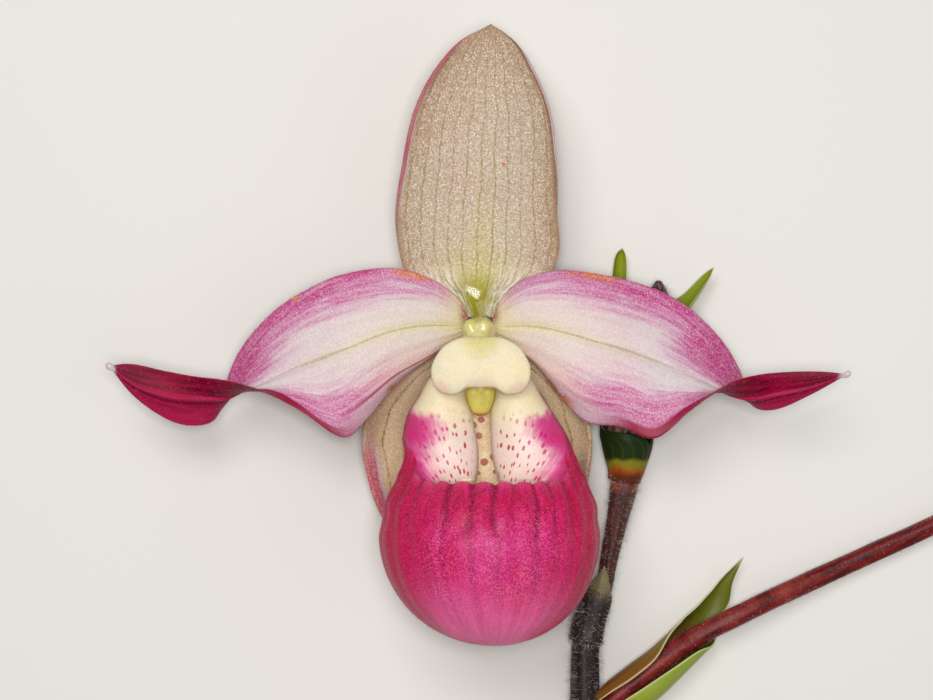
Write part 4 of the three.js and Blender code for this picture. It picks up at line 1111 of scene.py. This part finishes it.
class ORCHID_PG_colours(bpy.types.PropertyGroup):
    """Colours of every finish."""

    sepal: paint("Sepal", "Inner face of the sepals", "b09d86")
    sepal_rosy: paint("Sepal, rosy", "Rosier patches of the sepals", "b0957e")
    sepal_tan: paint("Sepal, tan", "Browner sides and tip of the sepals", "97744f")
    # Golden beige of the lower sepals, lightened past their own tone as painted light against the
    # shade they lie in.
    sepal_gold: paint("Sepal, golden", "Golden beige of the lower sepals", "e8cb98")
    sepal_base: paint("Sepal base", "Sepals near their base", "c4bb7c")
    sepal_edge: paint("Sepal edge", "Tan line along the sepals' margins", "8c6240")
    sepal_rim: paint("Sepal rim", "Rosy turned-in margin", "c4265c")
    sepal_back: paint("Sepal back", "Outer face of the sepals", "be2450")
    vein: paint("Vein", "Veins on the inner faces", "8e6e1c")
    vein_back: paint("Vein on the back", "Veins on the outer faces", "a05060")
    throat: paint("Throat", "Wet green throat above the column", "b0a626")
    glint: paint("Glint", "Light caught by wet cells", "fbf0e2")
    petal_white: paint("Petal white", "Inner face of the petals", "c9bfc1")
    petal_pale: paint("Petal pale pink", "Pale pink patches of the petals", "cbb3ba")
    petal_warm: paint("Petal warm white", "Warmer white beside the midrib", "d6c9ac")
    petal_tea: paint("Petal tea", "Faint tea-coloured veins", "d69a80")
    petal_lilac: paint("Petal lilac", "Lilac-pink of the petals", "ba609a")
    petal_rose: paint("Petal rose", "Strong rose along the petals' margins", "b01c76")
    petal_base: paint("Petal base", "Greenish yellow where a petal starts", "cfc77c")
    petal_crimson: paint("Petal crimson", "Outer face of the petals", "8c0230")
    # Petal deep crimson: also the painted shade in the crease beside the keel.
    petal_deep: paint("Petal deep crimson", "Deepest part of the outer face", "500014")
    # Petal glow: also the painted highlight on the keel and the painted glints of the outer face.
    petal_glow: paint("Petal glow", "Lighter keel and margins of the outer face", "c22459")
    midrib: paint("Midrib", "Olive line down each petal", "8f8440")
    bruise: paint("Bruise", "Orange-brown bruises", "c4622a")
    pouch: paint("Pouch", "Skin of the pouch", "b20a40")
    pouch_light: paint("Pouch, lighter", "Lighter streaks of the pouch", "c01358")
    # Pouch, pink: also the painted highlight on the rim's beads.
    pouch_pink: paint("Pouch, pink", "Paler pink bottom of the pouch", "ea6a9e")
    pouch_violet: paint("Pouch, violet", "Violet-pink middle of the pouch", "c42a78")
    pouch_red: paint("Pouch, red", "Redder sides and bottom of the pouch", "ac0434")
    # Pouch, bright: the colour of the painted glints on the pouch, and of its down.
    pouch_bright: paint("Pouch, bright", "Bright beads and dust of the pouch", "e676ac")
    # Pouch, dark: painted shade in the furrows, and the darker fine streaks.
    pouch_dark: paint("Pouch, dark", "Furrows of the pouch", "7a022c")
    cream: paint("Cream", "Upper side lobes and staminode", "e2d2ae")
    lobe_white: paint("Lobe white", "Lower side lobes", "dfc6bb")
    lobe_rose: paint("Lobe rose", "Shoulders of the side lobes", "c4317c")
    spot_rose: paint("Spot, outer", "Spots near the shoulders", "c0136f")
    lip_spot: paint("Lip, inside spots", "Spots on the inside of the lip", "a8402a")
    spot_brown: paint("Spot, inner", "Spots near the slot", "b43040")
    lip_inside: paint("Lip inside", "Inner wall of the lip", "f4dcae")
    column_green: paint("Column", "Glossy column", "c9bd66")
    column_light: paint("Column, lighter", "Lighter column", "d4cb92")
    staminode: paint("Staminode", "Paler staminode", "d8d0b2")
    stigma: paint("Stigma", "Olive stigma", "dcd266")
    anther: paint("Anther", "Anthers", "d9b45a")
    stem: paint("Stem", "Upper stem", "58281e")
    stem_dark: paint("Stem, dark", "Dark streaks of the stem", "351715")
    stem_low: paint("Stem, low", "Lower stem", "210e10")
    ring_green: paint("Ring, green", "Yellow-green ring under the sheath", "7c7420")
    ring_orange: paint("Ring, orange", "Orange-red of that ring", "9c4a1a")
    cut_end: paint("Cut end", "Fresh cut of the stem", "c9c78c")
    ovary: paint("Ovary", "Flower's own stalk", "7a3a34")
    ovary_green: paint("Ovary, green", "Greener part of that stalk", "6d6a3a")
    branch: paint("Branch", "Side branch", "781412")
    branch_dark: paint("Branch, dark", "Dark streaks of the branch", "400a0c")
    branch_rosy: paint("Branch, rosy", "Rosy patches of the branch", "94382f")
    # Dark green of the sheath and the stem inside it, made near black as painted shade for the
    # shadow behind the flower.
    bract_dark_shaded: paint("Bract, dark", "Dark green bracts", "1f2e10")
    bract_brown: paint("Bract, brown", "Brown-green scale at the stem's joint", "241814")
    bract_green: paint("Bract green", "Bright green bracts", "84911c")
    bract_bright: paint("Bract, bright", "Outer face of the branch's bract", "8e9e30")
    bract_tan: paint("Bract, tan", "Tip of the small bract at the node", "84784c")
    bract_leaf: paint("Bract, leaf olive", "Inner face of the branch's bract", "63680f")
    bract_olive: paint("Bract olive", "Olive bracts", "4c5010")
    bract_warm: paint("Bract, warm", "Orange-brown flush", "7a4619")
    bract_margin: paint("Bract margin", "Pale margins and tips", "cbc898")
    bud: paint("Bud", "Hairy buds", "4c1c26")
    hair_pale: paint("Pale hair", "Hairs on the stem", "efe8e4")
    hair_rosy: paint("Rosy hair", "Hairs on the pouch and petals", "dc92ac")
    hair_red: paint("Red hair", "Hairs on the branch and bud", "a85c54")
    floor: paint("Floor", "The floor that it lies on", "dedbd5")


# ---------------------------------------------------------------- the pieces


def with_front(points, s):
    """A sheet whose front faces up near its base."""
    return points, np.outer(s < 0.4, (0.0, 0.0, 1.0))


def build_stage(sizes, look):
    clear_selection()
    bpy.ops.object.camera_add(location=CAMERA, rotation=(0, 0, 0))
    camera = bpy.context.object
    camera.name = "camera"
    camera.data.lens, camera.data.sensor_width = 100.0, 36.0
    camera.data.clip_start, camera.data.clip_end = 0.01, 20.0
    bpy.context.scene.camera = camera
    bpy.ops.mesh.primitive_plane_add(size=3.0, location=(0, 0, -CLEAR))
    floor = bpy.context.object
    floor.name = "floor"
    f = Finish("floor paper", 0.85)
    f.colour = look.floor
    f.over(tone("d8d5cf"), f.rise(f.noise(6, 2), 0.2, 0.8, 0.0, 0.3))
    finished(floor, f.done())
    for name, (power, size, spot) in LIGHTS.items():
        bpy.ops.object.light_add(type="AREA", location=spot)
        lamp = bpy.context.object
        lamp.name = name
        lamp.data.energy, lamp.data.size = power, size
        aim = np.array(spot) - np.array(LIGHTS_AIM)
        lamp.rotation_euler = (math.atan2(math.hypot(aim[0], aim[1]), aim[2]), 0,
                               math.atan2(aim[0], -aim[1]))
    world = bpy.context.scene.world or bpy.data.worlds.new("studio")
    bpy.context.scene.world = world
    world.use_nodes = True
    world.node_tree.nodes["Background"].inputs["Color"].default_value = (1.0, 0.985, 0.96, 1.0)
    world.node_tree.nodes["Background"].inputs["Strength"].default_value = 0.14
    bpy.context.scene.view_settings.view_transform = "Standard"


def on_margins(edge):
    """Where a sepal bears hairs: thickly beyond this share of its width, thinly on its back."""
    return lambda p, n, m: (
        (np.abs(m["across"]) > edge) * 3.0 + (n[:, 2] < 0.1) * 0.12) * (m["along"] > 0.12)


def build_dorsal_sepal(sizes, look):
    roll = math.degrees(sizes.roll)

    def shape(s, v):
        left = roll * step(s, 0.34, 0.55) * step(s, 0.95, 0.82)
        right = roll * 0.85 * step(s, 0.40, 0.6) * step(s, 0.92, 0.80)
        points = np.where((v < 0)[:, None], rolled(DORSAL_SEPAL, s, v, -1, left),
                          rolled(DORSAL_SEPAL, s, v, 1, right))
        return with_front(points, s)

    def relief(s, v):
        return (-0.035 * vein(v, 6.0, 0.2) * step(s, 0.12, 0.3)
                + 0.16 * ripple(s * 2.2, v * 1.1, 3) * step(s, 0.05, 0.2)) * (
                    step(np.abs(v), 0.95, 0.8) * step(s, 1.0, 0.96))

    piece = finished(sheet("dorsal_sepal_leaf", 62, 72, shape, relief),
                     sepal_inner(look), sepal_outer(look))
    thicken(piece, sizes.petal_wall)
    place(piece, "sepal", "dorsal_sepal")
    hairs(piece, "dorsal_sepal_hairs", "sepal",
          hair_skin("sepal hair", look.hair_rosy, look.hair_pale), 2600, (11, 12),
          length=0.00034, radius=0.000016, spread=0.45, keep=on_margins(0.93))


def build_lower_sepal(sizes, look):
    def shape(s, v):
        return with_front(blade(LOWER_SEPAL, s, v, 2.6), s)

    def relief(s, v):
        return (-0.035 * vein(v, 6.0, 0.2) + 0.14 * ripple(s * 2, v * 1.2, 5)
                * step(s, 0.1, 0.25)) * step(np.abs(v), 1.0, 0.85) * step(s, 1.0, 0.96)

    piece = finished(sheet("synsepalum_leaf", 56, 72, shape, relief),
                     sepal_inner(look, "lower sepal inner face", 0.75),
                     bpy.data.materials["sepal outer face"])
    thicken(piece, sizes.petal_wall)
    place(piece, "sepal", "synsepalum")
    hairs(piece, "synsepalum_hairs", "sepal", bpy.data.materials["sepal hair"], 2200, (21, 22),
          length=0.00034, radius=0.000016, spread=0.45, keep=on_margins(0.94))


def build_petals(sizes, look):
    inner, outer = petal_inner(look), petal_outer(look)
    hair = hair_skin("petal hair", look.hair_rosy, look.petal_glow)
    pale = plain_skin("petal hook", look.petal_white, look.petal_pale, 0.35, 900)
    for side, rows, hook, seed in (("left", PETAL_LEFT, PETAL_HOOK_LEFT, 31),
                                   ("right", PETAL_RIGHT, PETAL_HOOK_RIGHT, 41)):

        def shape(s, v, rows=rows):
            return with_front(blade(rows, s, v), s)

        def relief(s, v, seed=seed):
            groove = -0.22 * bell(v, 0.07) * step(s, 0.03, 0.12) * step(s, 1, 0.93)
            fold = step(s, 0.05, 0.11) * step(s, 0.45, 0.33)
            strip = -1.2 * np.clip((v - 0.74) / 0.26, 0, 1) ** 1.3 * fold
            waves = 0.20 * ripple(s * 3.0, v * 1.0, seed) * step(s, 0.05, 0.2) * step(s, 1, 0.8)
            sway = 2.0 * ripple(s * 1.5, v, seed + 1)
            pleats = 0.035 * np.sin(v * 22 + sway) * step(s, 0.62, 0.5)
            return groove + strip + (waves + pleats) * step(np.abs(v), 1.0, 0.8)

        piece = finished(sheet(f"petal_{side}_leaf", 92, 44, shape, relief), inner, outer)
        thicken(piece, sizes.petal_wall)
        place(piece, "petal", f"petal_{side}")
        hairs(piece, f"petal_{side}_hairs", "petal", hair, 3200, (seed, seed + 2),
              length=0.00030, radius=0.000015, spread=0.45, keep=lambda p, n, m: (
                  (np.abs(m["across"]) > 0.95) * 3.0 + (m["along"] > 0.55) * 0.5)
              * (m["along"] > 0.1))
        end = stalk(f"petal_{side}_hook", hook, 16, 14, pale)
        rounder(end)
        place(end, "petal")


def build_lip(sizes, look):
    deep = sizes.furrow_depth * 1000
    finishes = [pouch_skin(look), lobe_skin(look), lip_inside(look)]
    hem = 0.18  # how far the front rim rolls in, in millimetres

    def swell(height, angle):
        """How far the skin stands out: ridges below the rim, dying away to the bottom."""
        near_rim = step(height, 0.2, 2.0)
        sway = angle + (1 - near_rim) * 5.0 * ripple(height * 0.7, angle / 28, 7)
        high = ridge(sway)
        uneven = 0.55 + 0.45 * step(ripple(sway / 9, height * 0.25, 23), -0.45, 0.35)
        fade = (0.42 * step(height, -0.95, 0.2) + 0.58 * step(height, 0.0, 2.0)) * step(
            height, 4.0, 3.0)
        creases = bell(np.abs(sway) - 55, 9)
        wave = 0.20 * ripple(height * 1.6, np.sin(np.radians(angle)) * 4, 9)
        out = (deep * (high - 0.75) * fade * uneven * (1 + 0.9 * creases)
               * step(np.abs(angle), 150, 70)
               + wave * step(height, 3.9, 2.5) * step(height, -1.0, -0.7))
        return out, (1 - high) * uneven

    def patch(name, along, across, shape, finish):
        """A grid bent into shape(s, t), which gives points, furrow, height, rim and angle."""
        piece, s, v = grid(name, along, across)
        points, furrow, height, rim, angle = shape(s, (v + 1) / 2)
        set_points(piece, metres(points))
        turn = np.radians(angle)
        note(piece, aside=np.sin(turn), ahead=np.cos(turn), furrow=furrow, height=height, rim=rim)
        finished(piece, *finishes)
        for face in piece.data.polygons:
            face.material_index = finish
        return piece

    def wall(s, t):
        """The pouch from its bottom, over its widest ring at t 0.54, up to the rim."""
        angle = np.round(s * 360 - 180, 6)
        top = rim_height(angle)
        height = np.where(t < 0.54, t / 0.54 - 1, (t - 0.54) / 0.46 * top)
        out, furrow = swell(height, angle)
        near = np.exp(-((top - height) / 0.22)) * at_front(angle)
        points = pouch_point(height, angle, out - hem * near)
        return points, furrow, height, np.exp(-np.maximum(top - height, 0) / 0.16), angle

    def neck(s, t):
        """The pouch's open upper part, round its back from one notch to the other."""
        angle, height = np.round(80 + s * 200, 6), NOTCH + t * 5
        angle = np.where(angle > 180, angle - 360, angle)
        out, furrow = swell(height, angle)
        return pouch_point(height, angle, out), furrow, height, np.zeros(len(s)), angle

    table = smooth(LOBE, np.linspace(0, 1, 500))

    def lobe(side):
        """One infolded side lobe: down the neck, along the wall's edge, then in under the rim."""
        neck_rows, edge_rows, tuck_rows = 12, (NOTCH_TURN - RIM_TURN) // 2, 8
        rows_in_all = neck_rows + edge_rows + tuck_rows

        def shape(s, t):
            row = s * rows_in_all
            high = np.where(row <= neck_rows, 7.75 - 3.75 * row / neck_rows, NOTCH)
            turn_down = np.clip(row - neck_rows, 0, edge_rows) * 2.0
            tuck = np.clip((row - neck_rows - edge_rows) / tuck_rows, 0, 1)
            angle = np.round((NOTCH_TURN - turn_down) * side, 6)
            on_neck = pouch_point(high, angle, swell(high, angle)[0])
            top = rim_height(angle)
            on_rim = pouch_point(top, angle, swell(top, angle)[0] - hem * at_front(angle))
            corner = np.where((row <= neck_rows + 1e-6)[:, None], on_neck, on_rim)
            y = corner[:, 1] - 3.0 * tuck
            half, middle, shoulder, shoulder_z, crest, edge_z = (
                np.interp(-y, -table[:, 0], table[:, i]) for i in range(1, 7))
            blend = step(tuck, 0.0, 0.8)
            shoulder_x = corner[:, 0] * (1 - blend) + (middle + side * shoulder) * blend
            shoulder_z = corner[:, 2] * (1 - blend) + shoulder_z * blend
            edge_x = middle + side * half
            turn = np.pi * t
            x = (shoulder_x + edge_x) / 2 + (shoulder_x - edge_x) / 2 * np.cos(turn)
            base = shoulder_z + (edge_z - shoulder_z) * t
            z = base + (crest - base) * np.maximum(np.sin(turn), 0) ** 0.8
            none = np.zeros(len(s))
            return np.column_stack((x, y, z)), none, none + 5.0, none, none

        return patch(f"lobe_{side}", rows_in_all, 22, shape, 1)

    piece = join([patch("pouch_wall", 180, 46, wall, 0), patch("pouch_neck", 100, 16, neck, 0),
                  lobe(-1), lobe(1)])
    piece.name = piece.data.name = "lip_pouch"
    weld(piece, consistent=True)
    front = points_of(piece)[:, 2] > metres((0, 0, 14))[2]
    if np.sum(points_of(piece, "normal")[front, 2]) < 0:
        turn_faces(piece)
    thicken(piece, sizes.lip_wall, back=2)
    place(piece, "lip", "lip")
    middle = metres((1.2, -26, 8.6))

    def outside(p, n, m):
        away = unit(p - middle)
        skin = (np.sum(away * n, axis=1) > 0.25) & (p[:, 1] < metres((0, -13, 0))[1])
        return skin * 1.0 * (away[:, 2] > -0.75)

    hairs(piece, "lip_down", "lip", hair_skin("pouch down", look.hair_rosy, look.pouch_bright),
          sizes.pouch_hairs, (51, 52), length=sizes.down_length, radius=0.000017, spread=0.4,
          keep=outside)


def build_column(sizes, look):
    finish = column_skin(look)
    piece = stalk("column_post", COLUMN, 26, 28, finish, up=(0, 1, 0))
    for x in (-1.15, 0.45):
        clear_selection()
        bpy.ops.mesh.primitive_uv_sphere_add(segments=24, ring_count=16, radius=0.00092,
                                             location=metres((x, 0.2, 8.8)))
        knob = bpy.context.object
        knob.scale = (1.0, 1.15, 0.9)
        bpy.ops.object.transform_apply(location=True, rotation=True, scale=True)
        join([piece, knob])
    melt(piece, finish, 0.6, 6)
    place(piece, "column", "column")


def build_staminode(sizes, look):
    inner = smooth(STAMINODE, np.linspace(0, 1, 60))
    outline = np.vstack([inner, np.column_stack((0.1 - inner[:, 0], inner[:, 1]))[::-1]])

    def round_hill(x, y, wide, high):
        return np.exp(-((x / wide) ** 2 + (y / high) ** 2))

    def swell(x, y):
        lobes = sum(0.15 * round_hill(x - cx, y + 5.3, 2.1, 1.9) for cx in (-3.5, 3.6))
        hollow = -0.16 * round_hill(x, y + 6.2, 1.2, 1.6)
        crown = 0.16 * round_hill(x, y + 2.2, 2.4, 1.1)
        seam = -0.05 * bell(x - 0.05, 0.40) * step(y, -1.2, -4.5)
        return lobes + hollow + crown + seam + 0.06 * ripple(x * 0.6, y * 0.6, 13)

    piece = pillow("staminode_shield", outline, np.array((0.05, -4.2, 10.4)), 0.58, 0.8, 96, 26,
                   staminode_skin(look), swell)
    rounder(piece)
    place(piece, "staminode", "staminode")
    hairs(piece, "staminode_hairs", "staminode",
          hair_skin("staminode hair", look.staminode, look.cream), 1500, (55, 56),
          length=0.00022, radius=0.000014, spread=0.4,
          keep=lambda p, n, m: (np.abs(n[:, 2]) < 0.75) * 1.0)


def build_stigma(sizes, look):
    finish = stigma_skin(look)
    stem = stalk("stigma_pad", STIGMA_STALK, 14, 18, finish)
    ring = np.linspace(0, 2 * np.pi, 60, endpoint=False)
    across, up = (np.sign(wave) * np.abs(wave) ** 0.75 for wave in (np.cos(ring), np.sin(ring)))
    outline = np.column_stack((0.05 + (1.7 + 0.4 * up) * across, -8.4 + 2.0 * up))
    pad = pillow("stigma_disc", outline, np.array((0.05, -8.4, 4.2)), 0.75, 0.7, 48, 16, finish,
                 lambda x, y: -0.12 * bell(x - 0.05, 0.4), tilt=12.0)
    melt(join([stem, pad]), finish, 0.5, 4)
    place(stem, "stigma", "stigma")


def build_anthers(sizes, look):
    finish = plain_skin("anther", look.anther, darker(look.anther, 0.75), 0.35, 900,
                        Coat_Weight=0.2, Coat_Roughness=0.3)
    for side, sign in (("right", 1), ("left", -1)):
        rows = [[x * sign, y, z, r] for x, y, z, r in ANTHER]
        piece = stalk(f"anther_{side}_sac", rows, 18, 20, finish,
                      lambda s, a: -0.14 * bell(a - 1.57, 0.35) * step(s, 0, 0.3)
                      * step(s, 1, 0.7))
        place(piece, "anther", f"anther_{side}")


def build_ovary(sizes, look):
    piece = stalk("ovary_stalk", OVARY, 70, 36, ovary_skin(look), lambda s, a: (
        0.13 * np.abs(np.cos(3 * (a + s * 1.6))) - 0.10) * step(s, 0, 0.1))
    place(piece, "hairy_stem", "ovary")
    hairs(piece, "ovary_hairs", "hairy_stem",
          hair_skin("ovary hair", look.hair_pale, look.hair_red), 2000, (61, 62),
          length=0.00055, radius=0.00002, spread=0.4, bent=True)


def build_stems(sizes, look):
    def skin(s, angle):
        ribs = 0.06 * np.cos(5 * angle + 9 * s)
        return ribs + 0.06 * ripple(s * 14, np.sin(angle) * 2, 17) - 0.03

    piece = stalk("main_stem_stalk", MAIN_STEM, 210, 34, stem_skin(look), skin)
    place(piece, "hairy_stem", "main_stem")
    hairs(piece, "main_stem_hairs", "hairy_stem",
          hair_skin("stem hair", look.hair_pale, darker(look.hair_pale, 0.5)),
          sizes.stem_hairs, (71, 72), length=sizes.stem_hair, radius=0.000016, spread=0.25,
          keep=lambda p, n, m: p[:, 1] < 0.022, bent=True)

    def bark(s, angle):
        joint = bell(s - 0.33, 0.012) * 0.12
        return 0.05 * np.cos(4 * angle + 5 * s) + 0.06 * ripple(s * 12, np.sin(angle), 19) + joint

    branch = stalk("side_branch_stalk", SIDE_BRANCH, 130, 28, branch_skin(look), bark)
    place(branch, "branch", "side_branch")
    hairs(branch, "side_branch_hairs", "branch",
          hair_skin("branch hair", look.hair_red, look.hair_pale), 2200, (81, 82),
          length=0.00038, radius=0.000017, spread=0.4)


def build_buds(sizes, look):
    finish = plain_skin("bud", look.bud, darker(look.bud, 0.5), 0.5, 500,
                        Sheen_Weight=0.4, Sheen_Roughness=0.4)
    hair = hair_skin("bud hair", look.hair_pale, darker(look.hair_pale, 0.6))
    for name, rows, seed in (("flower_bud", FLOWER_BUD, 91),
                             ("branch_end_bud", BRANCH_END_BUD, 95)):
        piece = stalk(f"{name}_case", rows, 44, 32, finish, lambda s, a: (
            0.12 * np.abs(np.cos(1.5 * a + 1.2 * s)) - 0.06) * step(s, 0.0, 0.3) * step(s, 1, 0.7))
        rounder(piece)
        place(piece, "bud", name)
        hairs(piece, f"{name}_hairs", "bud", hair, 1300, (seed, seed + 1),
              length=0.00075, radius=0.00002, spread=0.4, bent=True)


def build_bracts(sizes, look):
    outside = bract_skin("bract outside", look, look.bract_bright, look.bract_bright, 0.95)
    inside = bract_skin("bract inside", look, look.bract_olive, look.bract_leaf, 0.9)
    # The sheath's near-black green body is painted shade behind the flower.
    sheath, sheath_in = (
        bract_skin(name, look, look.bract_dark_shaded, look.bract_green, stripe=0.05, ringed=True)
        for name in ("sheath outside", "sheath inside"))
    scale = bract_skin("node bract", look, look.bract_brown, look.bract_tan, stripe=0.03)
    for name, rows, along, across, pair in (
        ("bract_upper_left", BRACT_UPPER_LEFT, 80, 30, (sheath, sheath_in)),
        ("bract_upper_right", BRACT_UPPER_RIGHT, 60, 26, (sheath, sheath_in)),
        ("node_bract", NODE_BRACT, 40, 22, (scale, scale)),
        ("branch_bract", BRANCH_BRACT, 80, 34, (outside, inside)),
        ("branch_end_bract", BRANCH_END_BRACT, 40, 22, (outside, inside)),
    ):

        def shape(s, v, rows=rows):
            return channel(rows, s, v)

        def relief(s, v, seed=len(name)):
            return (0.03 * vein(v, 7.0, 0.3) + 0.07 * ripple(s * 3, v, seed)
                    * step(s, 0.0, 0.15)) * step(s, 1.0, 0.85)

        piece = finished(sheet(f"{name}_blade", along, across, shape, relief), *pair)
        thicken(piece, sizes.bract_wall, offset=0.0)
        place(piece, "bract", name)
        if name == "node_bract":
            hairs(piece, "node_bract_hairs", "bract", bpy.data.materials["stem hair"], 900,
                  (101, 102), length=sizes.stem_hair * 0.8, radius=0.000024, spread=0.35,
                  bent=True)


# ---------------------------------------------------------------- the sidebar's operators


def chosen(context):
    """The sizes and colours set in the sidebar."""
    return context.scene.orchid_sizes, context.scene.orchid_colours


class ORCHID_OT_stage(bpy.types.Operator):
    """Makes the camera, the floor and the soft light"""

    bl_idname = "orchid.stage"
    bl_label = "Stage"

    def execute(self, context):
        build_stage(*chosen(context))
        return {"FINISHED"}


class ORCHID_OT_dorsal_sepal(bpy.types.Operator):
    """Makes the upper sepal with its rolled margins"""

    bl_idname = "orchid.dorsal_sepal"
    bl_label = "Upper sepal"

    def execute(self, context):
        build_dorsal_sepal(*chosen(context))
        return {"FINISHED"}


class ORCHID_OT_lower_sepal(bpy.types.Operator):
    """Makes the two joined lower sepals"""

    bl_idname = "orchid.lower_sepal"
    bl_label = "Lower sepals"

    def execute(self, context):
        build_lower_sepal(*chosen(context))
        return {"FINISHED"}


class ORCHID_OT_petals(bpy.types.Operator):
    """Makes both petals with their twisted tips"""

    bl_idname = "orchid.petals"
    bl_label = "Petals"

    def execute(self, context):
        build_petals(*chosen(context))
        return {"FINISHED"}


class ORCHID_OT_lip(bpy.types.Operator):
    """Makes the furrowed pouch and its infolded side lobes"""

    bl_idname = "orchid.lip"
    bl_label = "Lip"

    def execute(self, context):
        build_lip(*chosen(context))
        return {"FINISHED"}


class ORCHID_OT_column(bpy.types.Operator):
    """Makes the glossy column"""

    bl_idname = "orchid.column"
    bl_label = "Column"

    def execute(self, context):
        build_column(*chosen(context))
        return {"FINISHED"}


class ORCHID_OT_staminode(bpy.types.Operator):
    """Makes the cream shield in front of the column"""

    bl_idname = "orchid.staminode"
    bl_label = "Staminode"

    def execute(self, context):
        build_staminode(*chosen(context))
        return {"FINISHED"}


class ORCHID_OT_stigma(bpy.types.Operator):
    """Makes the stigma's pad on its stalk"""

    bl_idname = "orchid.stigma"
    bl_label = "Stigma"

    def execute(self, context):
        build_stigma(*chosen(context))
        return {"FINISHED"}


class ORCHID_OT_anthers(bpy.types.Operator):
    """Makes the two anthers beside the column"""

    bl_idname = "orchid.anthers"
    bl_label = "Anthers"

    def execute(self, context):
        build_anthers(*chosen(context))
        return {"FINISHED"}


class ORCHID_OT_ovary(bpy.types.Operator):
    """Makes the ribbed stalk behind the flower"""

    bl_idname = "orchid.ovary"
    bl_label = "Ovary"

    def execute(self, context):
        build_ovary(*chosen(context))
        return {"FINISHED"}


class ORCHID_OT_stems(bpy.types.Operator):
    """Makes the main stem and the side branch"""

    bl_idname = "orchid.stems"
    bl_label = "Stems"

    def execute(self, context):
        build_stems(*chosen(context))
        return {"FINISHED"}


class ORCHID_OT_buds(bpy.types.Operator):
    """Makes the young bud and the bud at the branch's end"""

    bl_idname = "orchid.buds"
    bl_label = "Buds"

    def execute(self, context):
        build_buds(*chosen(context))
        return {"FINISHED"}


class ORCHID_OT_bracts(bpy.types.Operator):
    """Makes the five bracts"""

    bl_idname = "orchid.bracts"
    bl_label = "Bracts"

    def execute(self, context):
        build_bracts(*chosen(context))
        return {"FINISHED"}


STEPS = (
    ORCHID_OT_stage,
    ORCHID_OT_dorsal_sepal,
    ORCHID_OT_lower_sepal,
    ORCHID_OT_petals,
    ORCHID_OT_lip,
    ORCHID_OT_column,
    ORCHID_OT_staminode,
    ORCHID_OT_stigma,
    ORCHID_OT_anthers,
    ORCHID_OT_ovary,
    ORCHID_OT_stems,
    ORCHID_OT_buds,
    ORCHID_OT_bracts,
)


class ORCHID_PT_panel(bpy.types.Panel):
    """Lists the orchid's steps, sizes and colours."""

    bl_label = "Orchid"
    bl_idname = "ORCHID_PT_panel"
    bl_space_type = "VIEW_3D"
    bl_region_type = "UI"
    bl_category = "Orchid"

    def draw(self, context):
        for each in STEPS:
            self.layout.operator(each.bl_idname)
        for group in (context.scene.orchid_sizes, context.scene.orchid_colours):
            box = self.layout.box()
            for name in group.__annotations__:
                box.prop(group, name)


CLASSES = (ORCHID_PG_sizes, ORCHID_PG_colours, *STEPS, ORCHID_PT_panel)


def register():
    for each in CLASSES:
        bpy.utils.register_class(each)
    bpy.types.Scene.orchid_sizes = PointerProperty(type=ORCHID_PG_sizes)
    bpy.types.Scene.orchid_colours = PointerProperty(type=ORCHID_PG_colours)


def unregister():
    del bpy.types.Scene.orchid_colours
    del bpy.types.Scene.orchid_sizes
    for each in reversed(CLASSES):
        bpy.utils.unregister_class(each)


def main():
    register()
    bpy.ops.orchid.stage()
    bpy.ops.orchid.dorsal_sepal()
    bpy.ops.orchid.lower_sepal()
    bpy.ops.orchid.petals()
    bpy.ops.orchid.lip()
    bpy.ops.orchid.column()
    bpy.ops.orchid.staminode()
    bpy.ops.orchid.stigma()
    bpy.ops.orchid.anthers()
    bpy.ops.orchid.ovary()
    bpy.ops.orchid.stems()
    bpy.ops.orchid.buds()
    bpy.ops.orchid.bracts()


if __name__ == "__main__":
    main()
